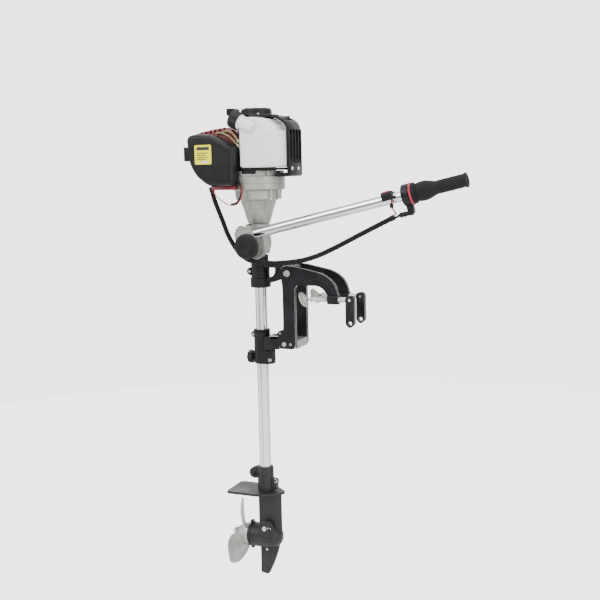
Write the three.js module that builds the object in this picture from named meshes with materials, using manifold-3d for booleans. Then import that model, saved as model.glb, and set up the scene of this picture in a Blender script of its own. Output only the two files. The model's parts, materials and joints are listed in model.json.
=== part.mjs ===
// A small air-cooled outboard motor: a brush-cutter style four-stroke engine with its crankshaft
// upright, a shaft tube, a swivel bracket in a two-plate transom clamp, a tiller with a twist throttle,
// and a bevel-geared lower leg with a three-blade propeller.
//
// Millimetres, +Z up. +X points forward, into the boat, and the tiller side is -Y.
// The origin is the middle of the transom block's front face.

import * as THREE from 'three';
import { mergeVertices } from 'three/addons/utils/BufferGeometryUtils.js';
import Module from 'manifold-3d';

const wasm = await Module();
wasm.setup();

// ---------------------------------------------------------------- driving dimensions

const GAP = 0.3; // clearance between touching pieces
const FREE = 0.4; // radial clearance of a turning fit
const FILLET_SHARE = 0.45; // the most of an edge that one rounded corner may take

const SHAFT_X = -97; // the upright shaft, behind the transom face
const TUBE_R = 13;
const TUBE_BORE_R = 10.5;
const TUBE_TOP = 284;
const TUBE_BOTTOM = -330;
const DRIVE_R = 4;

const PLATE_T = 9;
const PLATE_Y = 29; // inner face of each clamp plate
const LEG_W = 28; // depth of a plate's upright leg
const SCREW_Z = 103.5; // height of the clamp screws
const SCREW_R = 6;
const SCREW_Y = PLATE_Y + PLATE_T / 2;
const BOSS_X = [76, 100]; // the threaded boss at a plate's tip

const TILT = { x: -17, z: 157, r: 5 };
const LOWER_BOLT = { x: -27, z: 2.3, r: 3 };
const STOP_PIN = { x: -12, z: 2.5, r: 3 };

const PIVOT = { x: 3.4, z: 217 }; // tiller pivot, from the shaft
const TILLER_ANGLE = 13.15; // rise of the tiller, degrees
const TILLER_Y = -46;
const TILLER_DROP = 21.5; // tube axis above the tiller's own origin
const TILLER_SHIFT = [-9.15, 0, 2.14]; // that origin, from the pivot
const TILLER_R = 11;

const PROP_Z = -452;
const PROP_R = 84;
const PROP_PITCH = 130;
const BLADE_X = -54.5; // blade roots, from the shaft
const PLATE_Z = -346; // anti-ventilation plate

const BORE_Z = 415; // engine cylinder
const BORE_R = 18;
const TANK = { back: -13, front: 83, side: 65, bottom: 384, top: 490 };
const NECK = { from: [8, -58, 472], angle: 24, r: 15 };

// ---------------------------------------------------------------- finishes

const finish = (color, roughness, metalness) =>
  new THREE.MeshStandardMaterial({ color, roughness, metalness });
const anodised = finish(0x2c2c2f, 0.42, 0.6);
const castBlack = finish(0x2e2e2e, 0.6, 0.2);
const castGrey = finish(0x9a9a95, 0.5, 0.7);
const propAluminium = finish(0xb9b9b6, 0.38, 0.85);
const darkPaint = finish(0x3a3d40, 0.5, 0.3);
const steel = finish(0xb8b8b8, 0.3, 0.95);
const chrome = finish(0xd8d8d6, 0.15, 1);
const blackPlastic = finish(0x262627, 0.55, 0);
const redPlastic = finish(0x8e1c2c, 0.3, 0);
const redTrim = finish(0xd02a38, 0.4, 0);
const tankPlastic = finish(0xe4e6df, 0.45, 0);
const rubber = finish(0x1c1c1d, 0.8, 0);
const hoseRubber = finish(0x8a7b4a, 0.6, 0);
const bronze = finish(0xa88a52, 0.35, 0.9);

// ---------------------------------------------------------------- shape helpers

const radians = THREE.MathUtils.degToRad;

/** A closed three.js geometry as a manifold-3d solid with its faces pointing out. */
function solid(geometry) {
  const bare = geometry.clone();
  bare.deleteAttribute('normal');
  bare.deleteAttribute('uv');
  const merged = mergeVertices(bare, 1e-4);
  const build = (triangles) =>
    new wasm.Manifold(
      new wasm.Mesh({
        numProp: 3,
        vertProperties: Float32Array.from(merged.attributes.position.array),
        triVerts: triangles,
      }),
    );
  const triangles = Uint32Array.from(merged.index.array);
  const result = build(triangles);
  return result.volume() > 0 ? result : build(triangles.reverse());
}

const join = (...parts) => parts.reduce((whole, part) => whole.add(part));
const cut = (whole, ...parts) => parts.reduce((rest, part) => rest.subtract(part), whole);

function piece(parent, name, body, material) {
  const raw = body.getMesh();
  const geometry = new THREE.BufferGeometry();
  geometry.setAttribute('position', new THREE.BufferAttribute(raw.vertProperties, 3));
  geometry.setIndex(new THREE.BufferAttribute(raw.triVerts, 1));
  geometry.computeVertexNormals();
  const mesh = new THREE.Mesh(geometry, material);
  mesh.name = name;
  parent.add(mesh);
}

/** A box from its x, y and z limits. */
function block([x0, x1], [y0, y1], [z0, z1]) {
  const geometry = new THREE.BoxGeometry(x1 - x0, y1 - y0, z1 - z0);
  geometry.translate((x0 + x1) / 2, (y0 + y1) / 2, (z0 + z1) / 2);
  return solid(geometry);
}

/** A round bar between two points. A last radius tapers it towards the far end. */
function rod(from, to, radius, sides = 14, endRadius = radius) {
  const a = new THREE.Vector3(...from);
  const along = new THREE.Vector3(...to).sub(a);
  const geometry = new THREE.CylinderGeometry(endRadius, radius, along.length(), sides);
  geometry.translate(0, along.length() / 2, 0);
  const up = new THREE.Vector3(0, 1, 0);
  geometry.applyQuaternion(new THREE.Quaternion().setFromUnitVectors(up, along.normalize()));
  geometry.translate(...a);
  return solid(geometry);
}

/** A turned piece from [radius, height] points; axis is 'x', 'y' or 'z'. */
function turned(profile, axis = 'z', sides = 20) {
  const points = profile.map(([r, h]) => new THREE.Vector2(r, h));
  const geometry = new THREE.LatheGeometry([...points, points[0]], sides);
  if (axis === 'z') geometry.rotateX(Math.PI / 2);
  if (axis === 'x') geometry.rotateZ(-Math.PI / 2);
  return solid(geometry);
}

/** An outline of [a, b] or [a, b, corner radius] points. */
function outline(points) {
  const shape = new THREE.Shape();
  const corner = (k) => new THREE.Vector2(...points[(k + points.length) % points.length]);
  points.forEach(([a, b, radius = 0], k) => {
    const here = new THREE.Vector2(a, b);
    const towards = (other) => {
      const reach = Math.min(radius, FILLET_SHARE * here.distanceTo(other));
      return here.clone().add(other.sub(here).setLength(reach));
    };
    const start = radius ? towards(corner(k - 1)) : here;
    if (k === 0) shape.moveTo(start.x, start.y);
    else shape.lineTo(start.x, start.y);
    if (radius) {
      const end = towards(corner(k + 1));
      shape.quadraticCurveTo(a, b, end.x, end.y);
    }
  });
  shape.closePath();
  return shape;
}

function extruded(points, depth, curveSegments = 2) {
  return new THREE.ExtrudeGeometry(outline(points), { depth, bevelEnabled: false, curveSegments });
}

/** An outline in x and z, extruded along y. */
function sidePlate(points, [y0, y1]) {
  const geometry = extruded(points, y1 - y0);
  geometry.rotateX(Math.PI / 2);
  geometry.translate(0, y1, 0);
  return solid(geometry);
}

/** An outline in x and y, extruded along z. */
function floorPlate(points, [z0, z1]) {
  const geometry = extruded(points, z1 - z0);
  geometry.translate(0, 0, z0);
  return solid(geometry);
}

/** Copies of an outline, each [height, scale about its middle], skinned together and capped. */
function crowned(points, layers) {
  const ring = outline(points).extractPoints(2).shape;
  if (ring[0].distanceTo(ring[ring.length - 1]) < 1e-6) ring.pop();
  const middle = new THREE.Box2().setFromPoints(ring).getCenter(new THREE.Vector2());
  const positions = layers.flatMap(([height, scale]) =>
    ring.flatMap((p) => [
      middle.x + (p.x - middle.x) * scale,
      middle.y + (p.y - middle.y) * scale,
      height,
    ]),
  );
  const count = ring.length;
  const last = count * (layers.length - 1);
  const turn = THREE.ShapeUtils.isClockWise(ring) ? -1 : 1;
  const index = [];
  const triangle = (a, b, c) => index.push(...(turn > 0 ? [a, b, c] : [a, c, b]));
  for (let k = 0; k < layers.length - 1; k++) {
    for (let j = 0; j < count; j++) {
      const [a, b] = [k * count + j, k * count + ((j + 1) % count)];
      triangle(a, b, b + count);
      triangle(a, b + count, a + count);
    }
  }
  for (const [a, b, c] of THREE.ShapeUtils.triangulateShape(ring, [])) {
    const [first, second] = area(ring[a], ring[b], ring[c]) * turn > 0 ? [b, c] : [c, b];
    triangle(a, second, first);
    triangle(last + a, last + first, last + second);
  }
  const geometry = new THREE.BufferGeometry();
  geometry.setAttribute('position', new THREE.Float32BufferAttribute(positions, 3));
  geometry.setIndex(index);
  return geometry;
}

const area = (a, b, c) => (b.x - a.x) * (c.y - a.y) - (c.x - a.x) * (b.y - a.y);

/** A crowned side outline; its layers are [y, scale]. */
function crownedSide(points, layers) {
  const geometry = crowned(points, layers.map(([y, scale]) => [-y, scale]).reverse());
  geometry.rotateX(Math.PI / 2);
  return solid(geometry);
}

/** A crowned floor outline; its layers are [z, scale]. */
const crownedFloor = (points, layers) => solid(crowned(points, layers));

/** A round hose or cord along a smooth line through the points. */
function hose(points, radius, steps, sides) {
  const curve = new THREE.CatmullRomCurve3(points.map((p) => new THREE.Vector3(...p)));
  const section = new THREE.Shape();
  for (let k = 0; k < sides; k++) {
    const turn = (2 * Math.PI * k) / sides;
    const at = [radius * Math.cos(turn), radius * Math.sin(turn)];
    if (k === 0) section.moveTo(...at);
    else section.lineTo(...at);
  }
  return solid(new THREE.ExtrudeGeometry(section, { steps, extrudePath: curve, curveSegments: 1 }));
}

/** Star-shaped teeth around x or z, a flat spur blank. */
function toothed(teeth, inner, outer, [low, high], axis) {
  const points = [];
  for (let k = 0; k < teeth * 4; k++) {
    const turn = (2 * Math.PI * k) / (teeth * 4);
    const r = k % 4 < 2 ? outer : inner;
    points.push([r * Math.cos(turn), r * Math.sin(turn)]);
  }
  const geometry = extruded(points, high - low, 1);
  geometry.translate(0, 0, low);
  if (axis === 'x') geometry.rotateY(Math.PI / 2);
  return solid(geometry);
}

const tube = (outer, inner, [low, high], axis, sides) =>
  turned([[inner, low], [outer, low], [outer, high], [inner, high]], axis, sides);

const model = new THREE.Group();

// ---------------------------------------------------------------- transom clamp

function clampPlate(side) {
  const outer = side * (PLATE_Y + PLATE_T);
  const span = [Math.min(side * PLATE_Y, outer), Math.max(side * PLATE_Y, outer)];
  const profile = [
    [0, -8, 9], [0, 132, 7], [60, 132, 14], [BOSS_X[0], 113, 5], [BOSS_X[0], 94],
    [BOSS_X[1], 94], [BOSS_X[1], 113, 8], [91, 140, 16], [66, 158, 14], [0, 172, 6],
    [-30, 174.5, 10], [-32, 150, 10], [-LEG_W, 128, 10], [-LEG_W, 34, 8], [-39, 16, 8], [-39, -8, 6],
  ];
  const boss = block(BOSS_X, [side * SCREW_Y - 9, side * SCREW_Y + 9], [94, 112]);
  const bores = [TILT, LOWER_BOLT, STOP_PIN].map(({ x, z, r }) =>
    rod([x, -60, z], [x, 60, z], r + GAP, 14),
  );
  const thread = rod([70, side * SCREW_Y, SCREW_Z], [105, side * SCREW_Y, SCREW_Z], SCREW_R + FREE, 12);
  return cut(join(sidePlate(profile, span), boss), ...bores, thread);
}

function throughBolt({ x, z, r }, headR, headT, sides) {
  const face = PLATE_Y + PLATE_T + GAP;
  return join(
    rod([x, -face - 1, z], [x, face + 1, z], r, 10),
    rod([x, -face - headT, z], [x, -face, z], headR, sides),
    rod([x, face, z], [x, face + headT, z], headR, sides),
  );
}

function buildClamp() {
  const clamp = new THREE.Group();
  model.add(clamp);
  piece(clamp, 'near_clamp_plate', clampPlate(-1), anodised);
  piece(clamp, 'far_clamp_plate', clampPlate(1), anodised);
  const between = PLATE_Y - GAP;
  const bores = [LOWER_BOLT, STOP_PIN].map(({ x, z, r }) =>
    rod([x, -60, z], [x, 60, z], r + GAP, 10),
  );
  const spacer = cut(block([-32, 0], [-between, between], [-8, 10]), ...bores);
  piece(clamp, 'transom_block', spacer, castGrey);
  piece(clamp, 'tilt_bolt', throughBolt(TILT, 7.5, 8, 6), steel);
  piece(clamp, 'cross_bolt', throughBolt(LOWER_BOLT, 5, 3.5, 10), steel);
  const roll = PLATE_Y + PLATE_T + 2;
  const pin = turned([[1.6, -roll], [STOP_PIN.r, -roll], [STOP_PIN.r, roll], [1.6, roll]], 'y', 10);
  piece(clamp, 'stop_pin', pin.translate([STOP_PIN.x, 0, STOP_PIN.z]), steel);
}

/** One clamp screw with its drooping ball-jointed pad and folding lever; the group is on its axis. */
function buildClampScrew(side, label) {
  const group = new THREE.Group();
  group.position.set(0, side * SCREW_Y, SCREW_Z);
  model.add(group);

  const ball = [24, 0, 0];
  const lever = { x: 126, top: 9, tip: -58.5, half: 9.5, hole: -49.5 };
  const screw = cut(
    join(
      solid(new THREE.IcosahedronGeometry(4.6, 1)).translate(ball),
      rod([24, 0, 0], [46, 0, 0], 3.4, 8),
      rod([42, 0, 0], [115, 0, 0], SCREW_R, 14),
      block([112, 131], [-2.6, 2.6], [-4.5, 4.5]),
    ),
    rod([lever.x, -9, 0], [lever.x, 9, 0], 2.4, 8),
  );
  piece(group, `${label}_clamp_screw`, screw, steel);

  // the washer doesn't turn with the screw, and carries it as it slides
  piece(group, `${label}_pad_washer`, tube(7, 4, [36, 38.5], 'x', 10), steel);

  const droop = new THREE.Group();
  droop.position.set(...ball);
  droop.rotation.y = radians(-26);
  group.add(droop);
  const pad = cut(
    turned([[0, -8.5], [15, -8.5], [17.5, -5.5], [17.5, -3.5], [9.5, -1.5], [8, 2.5], [0, 2.5]], 'x', 16),
    solid(new THREE.IcosahedronGeometry(5.2, 1)),
    rod([0, 0, 0], [9, 0, 0], 4.9, 14, 7.4),
  );
  piece(droop, `${label}_clamp_pad`, pad, castGrey);

  // a folded channel with a rounded top and a pointed, drilled tip
  const { x, top, tip, half, hole } = lever;
  const profile = [
    [x - half, top, 8], [x + half, top, 8], [x + half, tip + 7], [x + 2, tip, 2], [x - 2, tip, 2],
    [x - half, tip + 7],
  ];
  const channel = cut(
    sidePlate(profile, [-6, 6]),
    block([x - 20, x + half - 2.4], [-3.4, 3.4], [-42, 20]),
    rod([x, -10, hole], [x, 10, hole], 4.7, 10),
  );
  const pin = join(
    rod([x, -6.3, 0], [x, 6.3, 0], 2, 8),
    rod([x, side * 7.6, 0], [x, side * 5.5, 0], 3.2, 8),
  );
  piece(group, `${label}_clamp_lever`, join(channel, pin), blackPlastic);
}

// ---------------------------------------------------------------- swivel bracket

function buildSwivel() {
  const swivel = new THREE.Group();
  swivel.position.x = SHAFT_X;
  model.add(swivel);
  const tilt = { x: TILT.x - SHAFT_X, z: TILT.z };
  const bushR = 16;
  const width = PLATE_Y - 1;

  const web = [[10, 175], [62, 175], [62, 143], [30, 133], [10, 133]];
  const window = [[14, 166], [40, 166], [40, 155, 6], [32, 145, 6], [14, 143]];
  const knuckle = [
    [58, 175], [66, 175, 6], [tilt.x + 11, 170, 8], [tilt.x + 12, 150, 9], [64, 143, 6], [58, 143],
  ];
  const upper = cut(
    join(
      tube(20.5, 12, [143, 175], 'z', 20),
      tube(22.5, 12, [122, 143.1], 'z', 20),
      cut(sidePlate(web, [-11, 11]), sidePlate(window, [-20, 20])),
      sidePlate(knuckle, [-width, width]),
      block([14, 62], [-26, 26], [169, 175]),
      rod([-21, -10, 157], [-21, 10, 157], 8.5, 14),
    ),
    rod([0, 0, 100], [0, 0, 190], bushR + GAP, 20),
    rod([tilt.x, -40, tilt.z], [tilt.x, 40, tilt.z], TILT.r + FREE, 14),
    block([-40, -10], [-1, 1], [120, 180]),
    rod([-23, -20, 157], [-23, 20, 157], 2.8, 8),
  );
  piece(swivel, 'upper_swivel', upper, castBlack);
  const bush = (flangeZ, sleeveZ) =>
    cut(
      join(tube(18.5, 9, flangeZ, 'z', 18), tube(bushR, 9, sleeveZ, 'z', 18)),
      rod([0, 0, -100], [0, 0, 300], TUBE_R + FREE, 18),
    );
  piece(swivel, 'upper_bush', bush([175 + GAP, 193.5], [124, 176]), blackPlastic);

  const lowArm = [
    [10, 12], [36, 18], [47, 21, 4], [55, 23], [55, -12, 5], [40, -14], [10, -18],
  ];
  const pinch = [[0, -17.5], [18, -15, 6], [29, -8, 4], [29, 8, 4], [18, 15, 6], [0, 17.5]];
  const slot = [[28, 14, 2], [46, 14, 2], [46, 9, 2], [28, 9, 2]];
  const lower = cut(
    join(
      tube(18, 12, [-49, 24], 'z', 18),
      floorPlate(pinch, [-49, -20]),
      cut(sidePlate(lowArm, [-20, 20]), sidePlate(slot, [-30, 30])),
      rod([-17, -9, 16.5], [-17, 9, 16.5], 7, 10),
      rod([-20.5, 0, -36], [-13, 0, -36], 7, 10),
    ),
    rod([0, 0, -80], [0, 0, 60], bushR + GAP, 18),
    block([12, 35], [-1.2, 1.2], [-55, -18]),
    rod([23, -20, -40], [23, 20, -40], 2.8, 8),
    rod([-30, 0, -36], [0, 0, -36], 4.4, 8),
  );
  piece(swivel, 'lower_swivel', lower, castBlack);
  piece(swivel, 'lower_bush', bush([24 + GAP, 27.5], [-47, 25]), blackPlastic);

  const knobStart = -20.5 - GAP;
  const knob = join(
    rod([knobStart - 13, 0, -36], [knobStart, 0, -36], 15, 8),
    rod([knobStart - 1, 0, -36], [-16.9, 0, -36], 4, 8),
  );
  piece(swivel, 'friction_knob', knob, blackPlastic);
}

// ---------------------------------------------------------------- lower leg and propeller

function propellerBlade(angle) {
  const rings = 6;
  const across = 4;
  const rootR = 12;
  const half = 1.7;
  const point = (i, j, face) => {
    const s = i / rings;
    const r = rootR + (PROP_R - rootR) * s;
    const chord = 34 + 33 * Math.sin(Math.PI * Math.min(1, s * 0.95)) - 8 * s * s;
    const tip = Math.sqrt(Math.max(0, 1 - Math.max(0, (s - 0.66) / 0.34) ** 2.2));
    const along = (j / across - 0.5) * Math.max(chord * tip, 5);
    const pitch = Math.atan(PROP_PITCH / (2 * Math.PI * Math.max(r, 26)));
    const thin = half * (1 - 0.5 * s) * (j === 0 || j === across ? 0.45 : 1);
    const axial = along * Math.sin(pitch) + face * thin * Math.cos(pitch) - 0.08 * (r - rootR);
    const swing = angle + (along * Math.cos(pitch) - face * thin * Math.sin(pitch)) / Math.max(r, 14);
    return [axial, -r * Math.sin(swing), r * Math.cos(swing)];
  };
  const positions = [];
  const index = [];
  for (const face of [1, -1]) {
    for (let i = 0; i <= rings; i++) {
      for (let j = 0; j <= across; j++) positions.push(...point(i, j, face));
    }
  }
  const count = (rings + 1) * (across + 1);
  const quad = (a, b, c, d) => index.push(a, b, c, a, c, d);
  const at = (i, j) => i * (across + 1) + j;
  for (let i = 0; i < rings; i++) {
    for (let j = 0; j < across; j++) {
      quad(at(i, j), at(i, j + 1), at(i + 1, j + 1), at(i + 1, j));
      quad(count + at(i, j), count + at(i + 1, j), count + at(i + 1, j + 1), count + at(i, j + 1));
    }
    quad(at(i, 0), at(i + 1, 0), count + at(i + 1, 0), count + at(i, 0));
    quad(at(i, across), count + at(i, across), count + at(i + 1, across), at(i + 1, across));
  }
  for (let j = 0; j < across; j++) {
    quad(at(0, j), count + at(0, j), count + at(0, j + 1), at(0, j + 1));
    quad(at(rings, j), at(rings, j + 1), count + at(rings, j + 1), count + at(rings, j));
  }
  const geometry = new THREE.BufferGeometry();
  geometry.setAttribute('position', new THREE.Float32BufferAttribute(positions, 3));
  geometry.setIndex(index);
  return solid(geometry);
}

function buildLeg(motor) {
  const collarZ = [-342, -287];
  const collar = cut(
    join(
      tube(18.5, 8, collarZ, 'z', 18),
      sidePlate([[-37, -294, 4], [-12, -290], [-12, -318], [-34, -318, 4]], [-8, 8]),
      block([14, 30], [-7, 7], [-340, -316]),
    ),
    rod([0, 0, -400], [0, 0, -250], TUBE_R + GAP, 18),
    block([-45, -8], [-1, 1], [-350, -280]),
    rod([-29, -20, -304], [-29, 20, -304], 2.8, 8),
  );
  piece(motor, 'leg_collar', collar, darkPaint);

  const leg = floorPlate(
    [[-17, 9, 6], [10, 13, 4], [30, 8, 6], [40, 0, 5], [30, -8, 6], [10, -13, 4], [-17, -9, 6]],
    [-445, PLATE_Z - 1],
  );
  const body = turned(
    [[0, -33], [27, -33], [27, 10], [24, 22], [17, 32], [8, 37.5], [0, 38.5]], 'x', 28,
  ).translate([0, 0, PROP_Z]);
  const skeg = sidePlate(
    [[-16, -470], [-16, -541, 4], [3, -544, 4], [17, -514, 20], [28, -484, 20], [33, -462]],
    [-3.5, 3.5],
  );
  const plate = floorPlate(
    [[-82, 41, 8], [2, 40, 14], [26, 22, 12], [46, 4, 4], [46, -4, 4], [26, -22, 12],
      [2, -40, 14], [-82, -41, 8]],
    [PLATE_Z - 2.5, PLATE_Z + 2.5],
  );
  const top = tube(18.5, 5.2, [PLATE_Z, -342 - GAP], 'z', 18);
  const casting = cut(
    join(leg, body, skeg, plate, top),
    rod([-40, 0, PROP_Z], [16, 0, PROP_Z], 21, 16),
    rod([0, 0, PROP_Z], [0, 0, -300], DRIVE_R + FREE, 10),
    rod([0, 0, -430], [0, 0, -300], DRIVE_R + 1.2, 10),
  );
  piece(motor, 'gearcase', casting, darkPaint);

  const cap = cut(
    join(
      tube(28, 4, [-38.5, -33 - GAP], 'x', 18),
      tube(20.5, 4, [-34, -26], 'x', 16),
      block([-38.5, -33 - GAP], [-6, 6], [-34, 34]),
    ),
    rod([-60, 0, 0], [0, 0, 0], 6 + FREE, 14),
  ).translate([0, 0, PROP_Z]);
  piece(motor, 'bearing_cap', cap, darkPaint);

  const shaftTop = 316;
  const pinion = [-443, -434];
  const drive = rod([0, 0, pinion[0] + 1], [0, 0, shaftTop], DRIVE_R, 8);
  piece(motor, 'drive_shaft', drive, steel);
  const bore = rod([0, 0, -500], [0, 0, 0], DRIVE_R + GAP, 8);
  piece(motor, 'drive_pinion', cut(toothed(13, 7.4, 9, pinion, 'z'), bore), bronze);

  const spin = new THREE.Group();
  spin.position.z = PROP_Z;
  motor.add(spin);
  const propeller = cut(
    join(
      turned([[5, -73], [10, -73], [15, -70], [20, -62], [24, -50], [25, -41], [5, -41]], 'x', 18),
      ...[0, 1, 2].map((k) => propellerBlade(radians(2 + 120 * k)).translate([BLADE_X, 0, 0])),
    ),
    rod([-90, 0, 0], [0, 0, 0], 6 + GAP, 14),
  );
  piece(spin, 'propeller', propeller, propAluminium);
  const shaft = join(rod([-84, 0, 0], [6, 0, 0], 6, 10), rod([-82, 0, 0], [-73 - GAP, 0, 0], 11, 6));
  piece(spin, 'propeller_shaft', shaft, steel);
  const gear = cut(
    join(toothed(24, 15.5, 17.4, [-18, -10.4], 'x'), rod([-24, 0, 0], [-16, 0, 0], 9, 14)),
    rod([-40, 0, 0], [20, 0, 0], 6 + GAP, 10),
  );
  piece(spin, 'driven_gear', gear, bronze);
}

// ---------------------------------------------------------------- knuckle and tiller

function buildKnuckle(motor) {
  const knuckle = cut(
    join(
      tube(23, 9, [197, 262.5], 'z', 18),
      tube(27, 9, [206, 238], 'z', 8),
      rod([PIVOT.x, -29.5, PIVOT.z], [PIVOT.x, -10, PIVOT.z], 20, 18),
      block([6, 15], [16, 28], [203, 244]),
    ),
    rod([0, 0, 150], [0, 0, 300], TUBE_R + GAP, 18),
    rod([PIVOT.x, -40, PIVOT.z], [PIVOT.x, -13.4, PIVOT.z], 4 + FREE, 10),
  );
  piece(motor, 'knuckle_clamp', knuckle, castGrey);

  const tiller = new THREE.Group();
  tiller.position.set(PIVOT.x, 0, PIVOT.z);
  tiller.rotation.y = radians(-TILLER_ANGLE);
  motor.add(tiller);
  const bar = new THREE.Group();
  bar.position.set(...TILLER_SHIFT);
  tiller.add(bar);
  const z = TILLER_DROP;
  const along = (x0, x1, r, sides = 16) => rod([x0, TILLER_Y, z], [x1, TILLER_Y, z], r, sides);
  const ring = (x0, x1, outer, sides = 18) =>
    tube(outer, TILLER_R + GAP, [x0, x1], 'x', sides).translate([0, TILLER_Y, z]);

  const saddle = cut(
    join(
      along(-20, 22, 16, 16),
      block([-14, 18], [-58, -34], [8, 22]),
      block([-18, 20], [-54, -38], [34, 42]),
    ),
    along(-40, 60, TILLER_R + GAP),
    block([-19, 21], [-47, -45], [30, 50]),
  ).translate(TILLER_SHIFT);
  const arm = cut(
    join(rod([0, -42, 0], [0, -30, 0], 32, 20), rod([0, -67.5, 0], [0, -30, 0], 11, 14)),
    rod([0, -80, 0], [0, 0, 0], 4 + FREE, 10),
    along(-40, 60, TILLER_R + GAP).translate(TILLER_SHIFT),
  );
  piece(tiller, 'tiller_arm', join(arm, saddle), castGrey);
  const tillerTube = tube(TILLER_R, 9.4, [-18, 425], 'x', 16).translate([0, TILLER_Y, z]);
  piece(bar, 'tiller_tube', tillerTube, chrome);

  const knob = join(
    turned([[0, -80], [24, -80], [27, -78.5], [27.5, -76], [27.5, -71], [25, -68], [0, -68]], 'y', 24),
    rod([0, -69, 0], [0, -15, 0], 4, 10),
  );
  piece(tiller, 'tiller_knob', knob, blackPlastic);

  const holder = cut(
    join(
      block([322, 345], [-60, -32], [z - 2, z + 14.5]),
      block([344, 352], [-59, -46], [z - 1, z + 5]),
    ),
    along(300, 360, TILLER_R + GAP),
    block([325, 341], [-56, -44], [30, 60]),
  );
  piece(bar, 'kill_switch', holder, blackPlastic);
  const button = block([325 + GAP, 341 - GAP], [-56 + GAP, -44 - GAP], [35.4, 39.4]);
  piece(bar, 'kill_button', button, redTrim);

  const drop = -15;
  const leg = [[365, 10], [381, 10], [381, -14, 5], [378, -21, 4], [368, -21]];
  const housing = cut(
    join(
      ring(365, 381, 22.5),
      sidePlate(leg, [TILLER_Y - 6, TILLER_Y + 6]),
      rod([377, TILLER_Y, drop], [349, TILLER_Y, drop], 5, 10),
    ),
    along(350, 400, TILLER_R + GAP),
  );
  piece(bar, 'throttle_housing', housing, blackPlastic);
  piece(bar, 'throttle_ring', ring(381 + GAP, 386, 23.5), redTrim);
  const grip = [
    [TILLER_R + FREE, 386 + GAP], [21.5, 386 + GAP], [21.5, 391.5], [17.5, 392.5], [19.4, 400], [19, 416],
    [15, 430], [13.4, 434], [13.4, 494], [15, 495], [15, 499], [0, 499], [0, 496],
    [TILLER_R + FREE, 496],
  ];
  piece(bar, 'throttle_grip', turned(grip, 'x', 18).translate([0, TILLER_Y, z]), rubber);
  const elbow = [[348.6, TILLER_Y, drop], [344, TILLER_Y, drop - 0.5], [338.5, TILLER_Y, drop - 2.6]];
  const cable = hose(elbow, 2.5, 4, 8);
  piece(bar, 'throttle_cable', cable, blackPlastic);
}

// ---------------------------------------------------------------- engine

function buildBottomEnd(motor) {
  const housing = cut(
    turned(
      [[0, 263], [24.5, 263], [38, 313], [50, 315], [52, 335], [59, 337], [59, 366], [0, 366]], 'z', 24,
    ),
    rod([0, 0, 250], [0, 0, TUBE_TOP + GAP], TUBE_R + GAP, 18),
    rod([0, 0, 270], [0, 0, 300], 6, 10),
    turned([[0, 290], [24, 290], [32, 313], [45, 316], [45, 370], [0, 370]], 'z', 20),
  );
  const bosses = [[42, -28], [52, -8]].map(([x, y]) => rod([x, y, 316], [x, y, 337], 6, 8));
  const hollow = rod([0, 0, 315.5], [0, 0, 370], 45, 20);
  piece(motor, 'clutch_housing', cut(join(housing, ...bosses), hollow), castGrey);

  const drum = cut(
    turned([[0, 303], [9, 303], [9, 318], [40, 318], [40, 345], [37, 345], [37, 321], [0, 321]], 'z', 20),
    rod([0, 0, 280], [0, 0, 318], DRIVE_R + GAP, 8),
  );
  piece(motor, 'clutch_drum', drum, steel);
  const shoe = cut(
    tube(34, 8 + GAP, [325, 341], 'z', 18),
    block([-3, 3], [14, 50], [320, 350]),
    block([-3, 3], [-50, -14], [320, 350]),
  );
  piece(motor, 'clutch_rotor', shoe, castBlack);

  const crankcase = cut(
    join(
      rod([0, 0, 366 + GAP], [0, 0, 377], 57, 22),
      rod([0, 0, 376], [0, 0, 456], 40, 18),
      block([-62, 0], [-34, 34], [381, 449]),
      block([-12, 12], [-58, -30], [366 + GAP, 377]),
      block([22, 40], [-48, -20], [366 + GAP, 377]),
    ),
    rod([0, 0, 350], [0, 0, 470], 8 + FREE, 14),
    rod([0, 0, 387], [0, 0, 443], 31, 18),
    rod([-70, 0, BORE_Z], [0, 0, BORE_Z], BORE_R + FREE, 16),
  );
  piece(motor, 'crankcase', crankcase, castGrey);

  const throwR = 13;
  const crank = join(
    rod([0, 0, 323], [0, 0, 406], 8, 10),
    rod([0, 0, 424], [0, 0, 494], 8, 10),
    rod([0, 0, 398], [0, 0, 407], 27, 18),
    rod([0, 0, 423], [0, 0, 432], 27, 18),
    rod([throwR, 0, 405], [throwR, 0, 425], 6, 10),
  );
  piece(motor, 'crankshaft', crank, steel);
  const fins = Array.from({ length: 8 }, (_, k) => {
    const turn = (Math.PI * k) / 4;
    const fin = block([18, 37], [-1.2, 1.2], [472, 481]);
    return fin.rotate([0, 0, THREE.MathUtils.radToDeg(turn)]);
  });
  const bore = rod([0, 0, 450], [0, 0, 490], 8 + GAP, 10);
  piece(motor, 'flywheel', cut(join(rod([0, 0, 461], [0, 0, 473], 38, 20), ...fins), bore), castGrey);

  const piston = cut(rod([-60, 0, BORE_Z], [-37, 0, BORE_Z], BORE_R - FREE, 16),
    rod([-54, 0, BORE_Z], [-30, 0, BORE_Z], BORE_R - 4, 14));
  piece(motor, 'piston', piston, castGrey);
}

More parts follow.
